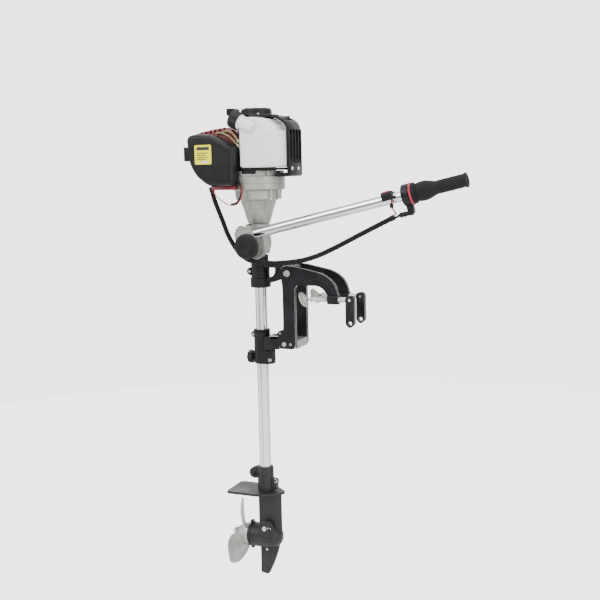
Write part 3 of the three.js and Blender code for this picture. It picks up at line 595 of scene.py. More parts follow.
def mirror_bands(tree, vector):
    """White all round, with darker bands at a few azimuths, for the tubes to mirror."""
    split = add(tree, "SeparateXYZ", Vector=vector)
    azimuth = add(tree, "Math")
    azimuth.operation = "ARCTAN2"
    for socket, axis in zip(azimuth.inputs, "YX"):
        tree.links.new(split.outputs[axis], socket)
    whole = add(tree, "MapRange", From_Min=-pi, From_Max=pi, Value=azimuth.outputs["Value"])
    node = add(tree, "ValToRGB", Fac=whole.outputs["Result"])
    elements = node.color_ramp.elements
    while len(elements) < len(BANDS):
        elements.new(0.5)
    for element, (degrees, shade) in zip(elements, BANDS):
        element.position = (degrees + 180) / 360
        element.color = (shade, shade, shade, 1)
    return node.outputs["Color"]


def seen_strength(tree, lighting, seen):
    """One strength for what lights the object and a higher one for what the picture shows."""
    path = add(tree, "LightPath").outputs["Is Camera Ray"]
    return add(tree, "MapRange", To_Min=lighting, To_Max=seen, Value=path).outputs["Result"]


def make_floor():
    """A pale floor that runs into the background without a seam."""
    bm = bmesh.new()
    bmesh.ops.create_circle(bm, cap_ends=True, segments=128, radius=FLOOR_R)
    bm.transform(Matrix.Translation((0, 0, CAD_BOX[0][2] - FLOOR_GAP)))
    mesh = bpy.data.meshes.new("floor")
    bm.to_mesh(mesh)
    bm.free()
    n = Nodes("pale_floor")
    seen = add(n.tree, "LightPath").outputs["Is Camera Ray"]
    pale = n.mix(n.spread(n.noise(60), 0.3, 0.7), (0.99, 0.99, 0.99, 1), (1, 1, 1, 1))
    tone = n.mix(n.spread(n.noise(40), 0.3, 0.7), (0.4, 0.4, 0.4, 1), (0.42, 0.42, 0.42, 1))
    n.surface(Base_Color=tone, Roughness=0.8, Metallic=0.0,
        Emission_Color=n.mix(seen, mirror_bands(n.tree, n.coords), pale),
        Emission_Strength=seen_strength(n.tree, 1.0, SEEN_FLOOR))
    mesh.materials.append(n.material)
    floor = bpy.data.objects.new("floor", mesh)
    bpy.context.scene.collection.objects.link(floor)


def make_light():
    """A white room and soft lights: name, place, the height that it faces, size and power."""
    world = bpy.data.worlds.new("studio")
    bpy.context.scene.world = world
    world.use_nodes = True
    tree = world.node_tree
    coords = add(tree, "TexCoord").outputs["Generated"]
    feed(tree, tree.nodes["Background"], Color=mirror_bands(tree, coords),
        Strength=seen_strength(tree, 1.5, SEEN_WORLD))
    for name, place, height, size, power in LIGHTS:
        data = bpy.data.lights.new(name, "AREA")
        data.shape = "RECTANGLE"
        data.size, data.size_y = size
        data.energy = power
        light = bpy.data.objects.new(name, data)
        light.location = place
        facing = Vector((0, 0, height)) - Vector(place)
        light.rotation_euler = facing.to_track_quat("-Z", "Y").to_euler()
        bpy.context.scene.collection.objects.link(light)


make_camera()
make_floor()
make_light()


# ---------------------------------------------------------------- cords

CONDUIT_ROUTE = [(-84, -60, 344), (-79, -60, 322), (-70, -60, 298), (-58, -60, 269),
    (-47.5, -60.5, 243), (-37, -60.5, 224), (-24, -60.5, 206), (-7, -61, 191.6), (14, -62, 184.2),
    (40, -62, 181.4), (70, -62, 181.4), (100, -62, 184.2), (132, -61, 189.5), (166, -58, 200.5),
    (205, -54, 218.5), (245, -50, 239), (285, -47, 259), (324, -46, 278)]
CONDUIT_R = 6
ROPE_R = 1.8
CABLE_ROUTE = [(348.6, -46, -15), (344, -46, -15.5), (338.5, -46, -17.6)]
FEED_ROUTE = [(-15.5, -57, 428), (-24, -56, 437), (-36, -54, 448), (-48, -53, 455), (-60, -52, 459),
    (-74, -49.5, 459)]
RETURN_ROUTE = [(-15.5, -57, 437), (-21, -56, 445), (-28, -55, 454), (-36, -53.5, 460),
    (-46, -52, 463), (-56, -49.5, 462)]


def line_length(line):
    return sum((Vector(b) - Vector(a)).length for a, b in zip(line, line[1:]))


def bending(name, parts, material, node):
    """A piece built in the motor's frame and baked into place, standing for a CAD node; it is put on no
    body.
    """
    obj = as_object(name, parts, MOTOR, [material])
    settle(obj, SMOOTH)
    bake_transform(obj)
    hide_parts(node)
    return obj


def make_conduit():
    """Corrugated split sleeve: a ring every 3.4 mm, with plain cuffs at its ends."""
    line = spline(CONDUIT_ROUTE, 10)
    total = line_length(line)
    close = [*evenly(line, 0.85), line[-1]]

    def radius(distance):
        if min(distance, total - distance) < 9:
            return CONDUIT_R
        return CONDUIT_R - 0.8 + 0.7 * cos(tau * distance / 3.4)

    obj = bending("conduit_sleeve", sweep(close, radius, 18),
        "dull_plastic", "throttle_conduit")


def make_cable():
    """The bare cable from the sleeve's end, through an elbow, to the throttle housing."""
    sleeve_end = TILLER_BAR.inverted() @ MOTOR @ (Vector(CONDUIT_ROUTE[-1]) * MM) / MM
    line = spline([*CABLE_ROUTE, tuple(sleeve_end)], 6)
    parts = [sweep(line, 2.3, 14), ring(3.1, 1.2, 0, 3, CABLE_ROUTE[0], -X)]
    piece("cable_inner", "dull_plastic", parts, "tiller", TILLER_BAR, replaces="throttle_cable")


def make_hoses():
    """Feed and return hose between the tank and the carburettor, with a clip at each lower end."""
    for label, route in (("feed", FEED_ROUTE), ("return", RETURN_ROUTE)):
        line = spline(route, 8)
        toward = Vector(route[1]) - Vector(route[0])
        clip = ring(3.3, 2.2, 3, 6, route[0], toward, edge=0.3, sides=24)
        shown(f"fuel_hose_{label}", ["hose", "steel"], [(sweep(line, 2.5, 18), 0), (clip, 1)])


def make_wire(name, points, body, material, radius=1.0):
    """A thin wire, fixed at both ends, from the point where it leaves the object."""
    line = spline(points, 8)
    obj = piece(name, material, sweep(line, radius, 12), body, angle=SMOOTH)


def make_wires():
    """The stop-switch wires at the engine end of the sleeve, and at the switch on the tiller."""
    loop = [(-82, -62, 341), (-75.2, -63, 330), (-61.8, -64, 318.5), (-46, -64, 309),
        (-35, -64, 307), (-22.4, -64, 309.5), (-12.2, -64, 322.3), (-9.4, -64, 334.4),
        (-12, -63, 346), (-19, -62, 355), (-24.1, -60, 359.5)]
    second = [(x + 1.5, y - 1.6, z - 3.2 * sin(pi * k / 10)) for k, (x, y, z) in enumerate(loop)]
    sleeve = piece("wire_sleeve", "dull_plastic", sweep(spline(loop[4:], 8), 2.4, 16), angle=SMOOTH)
    make_wire("stop_wire_white", loop, "motor", "wire_white", 0.9)
    make_wire("stop_wire_red", second, "motor", "wire_red", 0.9)
    drop = [(323.4, -59, 314), (323, -60.5, 309), (322.4, -60, 301), (324.5, -57, 294.5),
        (327.8, -52.5, 289), (327, -49, 286), (323.7, -46.5, 281.5)]
    plug = piece("switch_wire_plug", "dull_plastic", box((320.4, 327), (-64, -57), (297.5, 306), 1),
        "tiller")
    make_wire("switch_wire_black", drop, "tiller", "dull_plastic", 1.0)
    beside = [(x + 3, y - 2.3, z - 1) for x, y, z in drop]
    make_wire("switch_wire_red", beside, "tiller", "wire_red", 1.0)


make_conduit()
make_cable()
make_hoses()
make_wires()


# ---------------------------------------------------------------- transom clamp

PLATE_OUTLINE = [(0, -8, 9), (0, 132, 7), (60, 132, 14), (76, 113, 5), (76, 94), (100, 94),
    (100, 113, 8), (91, 140, 16), (66, 158, 14), (0, 172, 6), (-30, 174.5, 10), (-32, 150, 10),
    (-28, 128, 10), (-28, 34, 8), (-39, 16, 8), (-39, -8, 6)]


def make_clamp():
    for label, side in (("near", -1), ("far", 1)):
        low, high = sorted((side * PLATE_Y, side * (PLATE_Y + PLATE_T)))
        across = (side * SCREW_Y - 9, side * SCREW_Y + 9)
        parts = [
            # The bevel faces on the rims take material 1, the bright rim metal: a painted highlight along
            # the plates' edges.
            prism(PLATE_OUTLINE, low, high, edge=0.9, edge_material=1),
            (box((76, 100), across, (103.2, 112), 1.2), 0),
            (box((76.6, 99.4), across, (101.5, 104), 0.2), 0),
            (box((76, 100), across, (94, 102.4), 1.2), 0),
        ]
        piece(f"{label}_plate_fine", ["anodised", "milled_rim_highlight"], parts, "clamp_bracket", CLAMP,
            replaces=f"{label}_clamp_plate")
    block = prism([(-32, -8, 1), (0, -8, 1), (0, 10, 1), (-32, 10, 1)], -28.7, 28.7, edge=0.5)
    piece("block_fine", "machined", block, "clamp_bracket", CLAMP, replaces="transom_block")
    tilt_x, tilt_z = TILT
    face = PLATE_Y + PLATE_T + 0.3
    bolt = [crossbar(tilt_x, tilt_z, face, 5)]
    lower = [crossbar(-27, 2.3, face, 3)]
    for side in (-1, 1):
        out = (0, side, 0)
        bolt += [ring(7, 4, 0, 1.4, (tilt_x, side * face, tilt_z), out, edge=0.3),
            cap_screw((tilt_x, side * (face + 1.4), tilt_z), out, 5.6, 5.2)]
        lower += [ring(5, 2, 0, 1, (-27, side * face, 2.3), out, edge=0.25),
            cap_screw((-27, side * (face + 1), 2.3), out, 3.9, 2.6)]
    shown("tilt_bolt", "steel", bolt, "clamp_bracket", CLAMP)
    shown("cross_bolt", "steel", lower, "clamp_bracket", CLAMP)
    pin = ring(3, 1.6, -face - 1.7, face + 1.7, (-12, 0, 2.5), Y, edge=0.5, sides=28)
    shown("stop_pin", "steel", pin, "clamp_bracket", CLAMP)


def threaded(start, end, radius, pitch, depth, sides=24):
    """A screw thread along x: the radius follows a helix of the pitch."""
    steps = int((end - start) / pitch * 5)

    def point(x, turn):
        ease = min(1, (x - start) / pitch, (end - x) / pitch)
        phase = (x / pitch - turn) % 1
        r = radius - depth * (ease * abs(2 * phase - 1) + (1 - ease))
        return x, r * cos(tau * turn), r * sin(tau * turn)

    stations = (start + (end - start) * k / steps for k in range(steps + 1))
    return skin(bmesh.new(), [[point(x, j / sides) for j in range(sides)] for x in stations])


def make_clamp_screw(label, side):
    place = at_point(Vector((0, side * SCREW_Y, SCREW_Z)) * MM)
    screw = [ball(4.6, (24, 0, 0)), bar((26, 0, 0), (44, 0, 0), 3.4, 0.3),
        threaded(42, 115, 6, 1.75, 0.8), box((113, 131), (-2.6, 2.6), (-4.5, 4.5), 0.7)]
    piece(f"{label}_screw_fine", "steel", screw, f"{label}_screw", place,
        replaces=f"{label}_clamp_screw", angle=50)
    piece(f"{label}_washer_fine", "steel", ring(7, 3.8, 36, 38.5, direction=X, edge=0.5),
        f"{label}_clamp_slider", place, replaces=f"{label}_pad_washer")
    droop = place @ Matrix.Translation((24 * MM, 0, 0)) @ Matrix.Rotation(radians(-26), 4, "Y")
    dish = [(0, -7.4), (12.5, -7.8), (14.2, -8.5), (15.8, -8), (17.2, -6.4), (17.5, -5), (17, -3.8),
        (13, -2.5), (9.8, -1.4), (8.6, -0.2), (8.1, 1.7), (7.4, 2.5), (6.2, 2.5), (5.1, 1),
        (4.8, -2), (3.2, -4.2), (0, -4.8)]
    piece(f"{label}_pad_fine", "pad_metal", lathe(dish, direction=X), f"{label}_pad", droop,
        replaces=f"{label}_clamp_pad")

    x, top, tip, half, hole = 126, 9, -58.5, 9.5, -49.5
    outline = [(x - half, top, 9), (x + half, top, 9), (x + half, tip + 7, 2), (x + 2, tip, 2),
        (x - 2, tip, 2), (x - half, tip + 7, 2)]
    cuts = [box((x - 30, x + half - 2.4), (-3.4, 3.4), (-42, 30), 0),
        crossbar(x, hole, 10, 4.7, 0.1, 32)]
    piece(f"{label}_lever_fine", "lever_paint", prism(outline, -6, 6, edge=0.8), f"{label}_lever",
        place, replaces=f"{label}_clamp_lever", cuts=cuts)
    pin = [crossbar(x, 0, 6.9, 2, 0.3, 24), lathe([(0, 1.6), (1.6, 1.5), (2.8, 0.9), (3.3, 0),
        (0, 0)], (x, side * 6, 0), (0, side, 0), 28)]
    piece(f"{label}_lever_pin", "steel", pin, f"{label}_lever", place)


make_clamp()
make_clamp_screw("near", -1)
make_clamp_screw("far", 1)


# ---------------------------------------------------------------- swivel bracket

BUSH_BORE = 16.3
SWIVEL = "swivel_bracket"
SWIVEL_SCREWS = [(-21, 157, 12, 2.6, 10, 3.4, 4.6), (-17, 16.5, 10, 2.4, 9, 3.6, 4),
    (23, -40, 10, 2.4, 11, 4, 4.2)]


def make_swivel():
    tilt_x = TILT[0] - SHAFT_X
    width = PLATE_Y - 1
    barrel = [(BUSH_BORE, 122), (21.3, 122), (22.5, 123.2), (22.5, 142), (21.8, 143), (20.7, 143.6),
        (20.5, 145), (20.5, 173.8), (19.6, 175), (BUSH_BORE, 175)]
    web = [(10, 174.2), (62, 174.2), (62, 143), (30, 133), (10, 133)]
    window = [(14, 166, 1), (40, 166, 2), (40, 155, 8), (32, 145, 8), (14, 143, 1)]
    cuts = [prism(window, -40, 40), well(100, 190, BUSH_BORE)]
    piece("swivel_arm_fine", "cast_black", prism(web, -11, 11), SWIVEL, cuts=cuts, soft=1.2)
    hinge = [(58, 174.2, 2), (66, 174.2, 6), (tilt_x + 11, 169.6, 8), (tilt_x + 12, 150, 9),
        (64, 143, 6), (58, 143, 2)]
    parts = [prism(hinge, -width, width, edge=1.2, segments=3),
        box((21.5, 62), (-26, -8), (169, 174.2), 1.2), box((21.5, 62), (8, 26), (169, 174.2), 1.2),
        box((21.5, 62), (-9, 9), (169.2, 174), 0.5)]
    piece("swivel_hinge_fine", "cast_black", parts, SWIVEL)
    ear = []
    for low, high in ((-10, -0.9), (0.9, 10)):
        ear += [bar((-21, low, 157), (-21, high, 157), 8.3, 1),
            prism([(-24, 149.5), (-15, 147), (-15, 167), (-24, 164.5)], low, high, edge=1)]
    piece("swivel_barrel_fine", "cast_black", [lathe(barrel, sides=72, loop=True), *ear], SWIVEL,
        replaces="upper_swivel")
    top = prism(both_sides([(24, -24, 4), (67, -24, 4)]), 173.6, 174.6, "xy", edge=0.3)
    piece("swivel_top_fine", "machined", top, SWIVEL)

    low_barrel = [(BUSH_BORE, -49), (17, -49), (18, -48), (18, 22.8), (17, 24), (BUSH_BORE, 24)]
    low_arm = [(12, 12.4), (36, 18), (47, 21, 4), (55, 23, 3), (55, -12, 5), (40, -14), (12, -17.7)]
    slot = [(28, 14, 2), (46, 14, 2), (46, 9, 2), (28, 9, 2)]
    cuts = [prism(slot, -40, 40), well(-80, 60, BUSH_BORE)]
    piece("lower_arm_fine", "cast_black", prism(low_arm, -20, 20), SWIVEL, cuts=cuts, soft=1.2)
    parts = [lathe(low_barrel, sides=72, loop=True), ring(7, 4.4, 0, 7, (-20.5, 0, -36), X, 0.8,
        32)]
    for low, high in ((-9, -0.9), (0.9, 9)):
        parts += [bar((-17, low, 16.5), (-17, high, 16.5), 6.8, 0.9),
            prism([(-19, 10.5), (-15.5, 9.5), (-15.5, 23.5), (-19, 23)], low, high, edge=0.6)]
    pinch = [(0, 17.5), (18, 15, 6), (29, 8, 4), (29, 1.2), (16.6, 1.2), (11, 12), (0, 16.6)]
    parts += [prism(pinch, -49, -20, "xy", edge=1), prism([(x, -y, *r) for x, y, *r in pinch], -49,
        -20, "xy", edge=1)]
    piece("lower_barrel_fine", "cast_black", parts, SWIVEL, replaces="lower_swivel")

    screws = [part for x, z, reach, shank, face, head, nut in SWIVEL_SCREWS
        for part in (crossbar(x, z, reach, shank, 0.3, 24), cap_screw((x, -face, z), -Y, head, 3),
        polygon_bar((x, face, z), Y, nut, 3))]
    piece("swivel_screws", "steel", screws, SWIVEL)
    clip = [box((28.5, 48.5), (-21, -19.6), (15.2, 17.2), 0.5),
        box((28.5, 30.5), (-21, -19.6), (13.6, 20), 0.5)]
    piece("lower_arm_clip", "steel", clip, SWIVEL)
    lug = [bar((54, -21.5, 23), (54, -10, 23), 6.2, 1.2, 36)]
    piece("lower_arm_lug", "cast_black", lug, SWIVEL)
    piece("lower_arm_rivet", "steel", ball(2.2, (54, -21.6, 23)), SWIVEL)

    for label, flange, sleeve in (("upper", (175.3, 193.5), 124), ("lower", (24.3, 27.5), -47)):
        bush = [(13.4, sleeve), (16, sleeve), (16, flange[0]), (18, flange[0]),
            (18.5, flange[0] + 0.5), (18.5, flange[1] - 0.8), (17.8, flange[1]), (13.4, flange[1])]
        shown(f"{label}_bush", "dull_plastic", lathe(bush, loop=True), SWIVEL)

    layers = [(h, 13.9 * scale, 1.1 * scale) for h, scale in ((0, 0.86), (1.2, 0.97), (3, 1),
        (10, 1), (12, 0.95), (13, 0.82))]
    knob = fluted(layers, 8, 96, (-20.8, 0, -36), -X)
    shown("friction_knob", "plastic", [knob, bar((-22, 0, -36), (-16.9, 0, -36), 3.9, 0.4, 24)],
        "friction_screw")


make_swivel()


# ---------------------------------------------------------------- lower leg and propeller

PROP_R = 84
BLADE_X = -54.5


def make_tube():
    shown("shaft_tube", "chrome", ring(TUBE_R, 10.5, -330, 284, edge=0.5, sides=96))


def make_leg():
    collar = [(13.4, -342), (17.6, -342), (18.5, -341), (18.5, -290), (17.4, -287.4), (16, -287),
        (13.4, -287)]
    parts = [lathe(collar, sides=72, loop=True),
        prism([(14, -340, 2), (28, -340, 4), (30, -316, 3), (14, -314, 2)], -7, 7, edge=1.4)]
    ear = [(-37, -296, 8), (-24, -289.5, 6), (-12, -288.5), (-12, -314), (-24, -317, 8),
        (-37, -312, 8)]
    parts += [prism(ear, low, high, edge=1) for low, high in ((-8, -0.8), (0.8, 8))]
    shown("leg_collar", "charcoal", parts, cuts=[crossbar(-25, -306.5, 20, 3.3, 0.1, 28)])
    clip = [(26, -8, -314), (30.5, -8.6, -316.5), (31, -9, -320), (28, -9, -322),
        (25.5, -8.6, -319.5)]
    fittings = [sweep(spline(clip, 6), 1, 12), crossbar(-25, -306.5, 10.2, 3.2, 0.6, 28)]
    piece("collar_fittings", "steel", fittings)

    foil = [(-17, 9, 6), (10, 13, 8), (30, 8, 9), (40, 0, 5), (30, -8, 9), (10, -13, 8),
        (-17, -9, 6)]
    skeg = [(-16, -470), (-16, -541, 3), (3, -543.4, 4), (17, -514, 22), (28, -484, 22), (33, -462)]
    plate = both_sides([(-82, 41, 9), (2, 40, 16), (26, 22, 14), (46, 4, 4)])
    nose = [(27 * sqrt(max(0, 1 - t ** 2.6)), 8 + 30.5 * t) for t in (k / 12 for k in range(13))]
    body = [(0, -33), (26, -33), (27, -32), (27, 8), *nose[1:-1], (0, 38.5)]
    parts = [
        prism(foil, -446, PLATE_Z - 1, "xy"),
        lathe(body, (0, 0, PROP.translation.z / MM), X, 72),
        prism(skeg, -3.5, 3.5, edge=1.6, segments=3),
        prism(plate, PLATE_Z - 2.5, PLATE_Z + 2.5, "xy", edge=1.2),
        ring(18.5, 5.2, PLATE_Z, -342.3, edge=0.8),
        lathe([(0, 0), (17.5, 0), (19, 1), (19.4, 2.4), (18.4, 4), (16, 4.6), (15, 3.6), (0, 3.2)],
            (9, -22.5, -428), (0, -1, 0.12), 56),
    ]
    shown("gearcase", "charcoal", parts)
    fittings = [
        lathe([(0, 3), (3, 2.8), (5, 1.6), (5.6, 0), (0, 0)], (5, -26, -427.4), (0, -1, 0.12), 36),
        bar((14, -24, -424.8), (14, -28.2, -424.4), 1.9, 0.5, 20),
        bar((20.5, -23, -424.8), (20.5, -27.6, -424.4), 1.7, 0.5, 20),
        *[lathe([(0, 1.8), (2.4, 1.5), (3.4, 0), (0, 0)], (0, 3.5 * side, -484), side * Y, 28)
            for side in (-1, 1)],
    ]
    piece("gearcase_screws", "steel", fittings)
    cap = [
        ring(28, 6.4, -38.5, -33.3, direction=X, edge=1, sides=64),
        *[prism([(-6, 34 * side, 6), (6, 34 * side, 6), (6, 20 * side), (-6, 20 * side)], -38.5,
            -33.3, "yz", edge=0.8) for side in (-1, 1)],
    ]
    shown("bearing_cap", "charcoal", cap, "motor", PROP)
    cap_screws = [cap_screw((-38.5, 0, z), -X, 3.2, 2.2) for z in (-29.5, 29.5)]
    piece("bearing_cap_screws", "steel", cap_screws, "motor", PROP)


def blade(angle):
    """A cupped blade, wide and round at its tip, twisted to the propeller's pitch."""
    rings, across, root, half, pitch_length = 30, 16, 14, 1.7, 130
    rows = []
    for i in range(rings + 1):
        s = i / rings
        r = root + (PROP_R - root) * s
        width = 34 + 33 * sin(pi * min(1, s * 0.95)) - 8 * s * s
        tip = sqrt(max(0.0, 1 - max(0.0, (s - 0.66) / 0.34) ** 2.2))
        chord = max(width * tip, 2.5)
        pitch = atan(pitch_length / (tau * max(r, 26)))
        fillet = 1 + 1.6 * max(0, 1 - s / 0.12) ** 2
        row = []
        for j in range(2 * across):
            t = pi * j / across
            along = 0.5 * chord * cos(t)
            lift = half * fillet * (1 - 0.55 * s) * sin(t) - 3 * (along / 30) ** 2
            axial = along * sin(pitch) + lift * cos(pitch) - 0.08 * (r - root)
            swing = angle + (along * cos(pitch) - lift * sin(pitch)) / max(r, 14)
            row.append((axial, -r * sin(swing), r * cos(swing)))
        rows.append(row)
    bm = skin(bmesh.new(), rows)
    bm.transform(Matrix.Translation((BLADE_X, 0, 0)))
    return bm


def make_propeller():
    hub = [(6.3, -73), (9.4, -73), (10, -72.6), (15, -70), (18, -66), (20.2, -61.5), (22.6, -55),
        (24, -50), (25, -44), (24.8, -42), (24, -41), (6.3, -41)]
    parts = [lathe(hub, direction=X, sides=64, loop=True)]
    parts += [blade(radians(2 + 120 * k)) for k in range(3)]
    shown("propeller", "blade", parts, "propeller_assembly", PROP, angle=50)
    shaft = [bar((-84, 0, 0), (6, 0, 0), 5.8, 1), polygon_bar((-73.3, 0, 0), -X, 10.6, 8.4),
        ring(12, 6, -74.2, -73.2, direction=X, edge=0.3), crossbar(-79, 0, 9, 1.3, 0.3, 16)]
    shown("propeller_shaft", "steel", shaft, "propeller_assembly", PROP)


make_tube()
make_leg()
make_propeller()


# ---------------------------------------------------------------- knuckle and tiller

def make_knuckle():
    x, z = PIVOT
    body = [(13.4, 197), (21.5, 197), (23, 198.5), (23, 205), (24, 207), (26.4, 219), (26.6, 223),
        (24, 237), (23, 239), (23, 261), (21.8, 262.5), (13.4, 262.5)]
    parts = [
        lathe(body, sides=72, loop=True),
        bar((x, -29.5, z), (x, -10, z), 20, 1.2, 64),
        ring(31, 19, -29.5, -26, (x, 0, z), Y, 0.8, 64),
    ]
    ear = [(4, 203, 3), (15, 205, 4), (15, 242, 4), (4, 244, 3)]
    parts += [prism(ear, low, high, edge=1.2) for low, high in ((16, 21.4), (22.6, 28))]
    piece("knuckle_fine", "cast_grey", parts, replaces="knuckle_clamp")
    screws = [part for height in (212, 234) for part in (cap_screw((11, 16.4, height), -Y, 3.4,
        0.6), bar((11, 14, height), (11, 29, height), 2.4, 0.3, 24),
        polygon_bar((11, 28, height), Y, 4.3, 3))]
    piece("knuckle_screws", "steel", screws)


def tiller_ring(low, high, outer, edge=0.8, inner=TILLER_R + 0.3):
    return ring(outer, inner, low, high, (0, TILLER_Y, TILLER_Z), X, edge)


def make_tiller_clamp():
    low_teeth, high_teeth = circle(31.4, 0, 48), circle(32, 0, 48)
    rim = [(high_teeth if k % 2 else low_teeth)[k][:2] for k in range(48)]
    saddle = [(-20, 6, 6), (22, 6, 6), (22, 33.6, 5), (17, 35, 2), (-15, 35, 2), (-20, 33.6, 5)]
    cap = [(-18, 34), (20, 34), (19.5, 39.5, 4), (14, 42, 3), (-12, 42, 3), (-17.5, 39.5, 4)]
    bore = bar((-40, TILLER_Y, TILLER_Z), (60, TILLER_Y, TILLER_Z), TILLER_R + 0.3, 0.1)
    parts = [
        prism(rim, -42, -30, edge=0.7),
        ring(31, 12, -44.5, -41, direction=Y, edge=1, sides=64),
        bar((0, -67.5, 0), (0, -30, 0), 11, 1.2, 48),
    ]
    piece("tiller_drum_fine", "cast_grey", parts, "tiller", TILLER, replaces="tiller_arm")
    piece("tiller_saddle_fine", "cast_grey", prism(saddle, TILLER_Y - 13.5, TILLER_Y + 13.5, edge=2,
        segments=3), "tiller", TILLER_BAR, cuts=[bore])
    piece("tiller_cap_fine", "cast_grey", prism(cap, TILLER_Y - 9, TILLER_Y + 9, edge=1.4),
        "tiller", TILLER_BAR)
    screws = [cap_screw((x, TILLER_Y - 5 * side, 41.5), Z, 3.3, 3.4) for x in (-8, 12)
        for side in (-1, 1)]
    piece("tiller_saddle_screws", "lever_paint", screws, "tiller", TILLER_BAR, slot="black_plastic")

    knob = [(0, -79), (10, -79), (12, -79.6), (22, -79.8), (25.4, -79), (27, -77.4), (27.5, -75),
        (27.5, -71.4), (26.4, -69), (24, -68), (0, -68)]
    shown("tiller_knob", "plastic", [lathe(knob, direction=Y, sides=96),
        bar((0, -69, 0), (0, -15, 0), 3.9, 0.4)], "tiller_clamp_knob", TILLER)


def make_tiller():
    tube = ring(TILLER_R, 9.4, -18, 425, (0, TILLER_Y, TILLER_Z), X, 0.5, 80)
    shown("tiller_tube", "chrome", tube, "tiller", TILLER_BAR)

    y = TILLER_Y
    arch = [(y + 11.3 * cos(a), TILLER_Z + 11.3 * sin(a))
        for a in (radians(190 - 5 * k) for k in range(41))]
    low, top = TILLER_Z - 2, TILLER_Z + 14.5
    saddle = [(y + 14, low), (y + 14, top, 4), (y - 14, top, 4), (y - 14, low), *arch]
    pocket = box((324.4, 341.6), (y - 10.6, y + 2.6), (TILLER_Z + 8, top + 9), 0)
    piece("switch_holder_fine", "plastic", prism(saddle, 322, 345, "yz"), "tiller", TILLER_BAR,
        replaces="kill_switch", cuts=[pocket], soft=0.8)
    cheek = [(y - 14, TILLER_Z - 1), (y - 14, TILLER_Z + 5, 2), (y - 11.4, TILLER_Z + 5),
        (y - 11.4, TILLER_Z - 1)]
    rims = [prism(cheek, 345, 352, "yz", edge=0.6), box((322.6, 324.8), (y - 10.5, y + 2.5),
        (top - 1, 38), 0.5), box((341.2, 343.4), (y - 10.5, y + 2.5), (top - 1, 38), 0.5)]
    piece("switch_holder_rims", "plastic", rims, "tiller", TILLER_BAR)
    button = [box((325.4, 340.6), (y - 9.6, y + 1.6), (35.4, 38.8), 1.1, 3),
        *[box((327 + 2.6 * k, 328.3 + 2.6 * k), (y - 8, y), (38.4, 39.3), 0.25) for k in range(5)]]
    piece("stop_button_fine", "red", button, "stop_button", TILLER_BAR, replaces="kill_button")

    leg = [(366, 4), (380.6, 4), (381, -14, 6), (376, -21, 6), (368, -20, 5)]
    housing = [
        tiller_ring(365, 381, 22.5, 1.8),
        prism(leg, y - 6, y + 6, edge=2, segments=3),
        bar((377, y, -15), (349, y, -15), 5, 0.8, 36),
        ring(5.7, 3, 349, 353, (0, y, -15), X, 0.5, 36),
        ring(5.7, 3, 357, 360, (0, y, -15), X, 0.5, 36),
        bar((369, y - 21, 26), (369, y - 23.2, 26.4), 2.4, 0.3, 20),
    ]
    shown("throttle_housing", "plastic", housing, "tiller", TILLER_BAR)
    red = [(11.4, 381.3), (22, 381.3), (23.5, 382.2), (23.2, 384.4), (22, 386), (11.4, 386)]
    shown("throttle_ring", "red", lathe(red, (0, y, TILLER_Z), X, 72, loop=True), "tiller",
        TILLER_BAR)


def make_grip():
    """Rubber sleeve with a knurled bulge for the palm, ribs along its barrel and an end flange."""
    start, end, steps, sides = 386.4, 499.0, 150, 120
    stations = [(386.4, 20.8), (387.2, 21.5), (390.6, 21.5), (391.6, 20.6), (392.6, 17.4),
        (395, 18), (400, 19.3), (408, 19.9), (416, 19.2), (424, 16.8), (430, 14.9), (434, 13.8),
        (437, 13.4), (492.5, 13.4), (493.5, 13.8), (495, 15), (498, 15), (499, 14.2)]

    def outer(x):
        for (xa, ra), (xb, rb) in zip(stations, stations[1:]):
            if x <= xb:
                return ra + (rb - ra) * (x - xa) / (xb - xa)
        return stations[-1][1]

    def pattern(x, a):
        if 394 < x < 430:
            diamond = abs(sin(9 * a + x * 0.55)) * abs(sin(9 * a - x * 0.55))
            return min(1, (x - 394) / 3, (430 - x) / 3) * (0.75 * diamond - 0.25)
        if 440 < x < 489:
            return 0.28 * cos(30 * a) * min(1, (x - 440) / 2, (489 - x) / 2)
        return 0

    def around(radius, x, relief=lambda x, a: 0):
        spokes = ((a, radius + relief(x, a)) for a in (tau * j / sides for j in range(sides)))
        return [(x, TILLER_Y + r * cos(a), TILLER_Z + r * sin(a)) for a, r in spokes]

    along = (start + (end - start) * k / steps for k in range(steps + 1))
    rows = [around(outer(x), x, pattern) for x in along]
    inner = [around(11.5, x) for x in (496, start)]
    rows += [around(9, end), around(8, 497.6)]
    bm = skin(bmesh.new(), rows, capped=False)
    bm.faces.new([bm.verts.new(p) for p in reversed(rows[-1])])
    skin(bm, [*inner, rows[0]], capped=False)
    bm.faces.new([bm.verts.new(p) for p in inner[0]])
    bmesh.ops.remove_doubles(bm, verts=bm.verts, dist=1e-4)
    piece("twist_grip_fine", "rubber", bm, "twist_grip", TILLER_BAR, replaces="throttle_grip",
        angle=45)


make_knuckle()
make_tiller_clamp()
make_tiller()
make_grip()


# ---------------------------------------------------------------- engine

def crown(points, layers, plane="xz"):
    """Copies of an outline, each (height, scale about its middle), skinned together and capped."""
    outline = rounded(points)
    xs, ys = zip(*outline)
    mid_a, mid_b = (min(xs) + max(xs)) / 2, (min(ys) + max(ys)) / 2
    rows = [[TO_SPACE[plane](mid_a + (a - mid_a) * k, mid_b + (b - mid_b) * k, h) for a,
        b in outline] for h, k in layers]
    return skin(bmesh.new(), rows)


def dome(flat, full, scale, steps=8):
    """Layers for crown() that swell from a smaller copy at flat to the whole outline at full."""
    turns = (pi / 2 * k / steps for k in range(steps + 1))
    return [(flat + (full - flat) * (1 - cos(a)), scale + (1 - scale) * sin(a)) for a in turns]


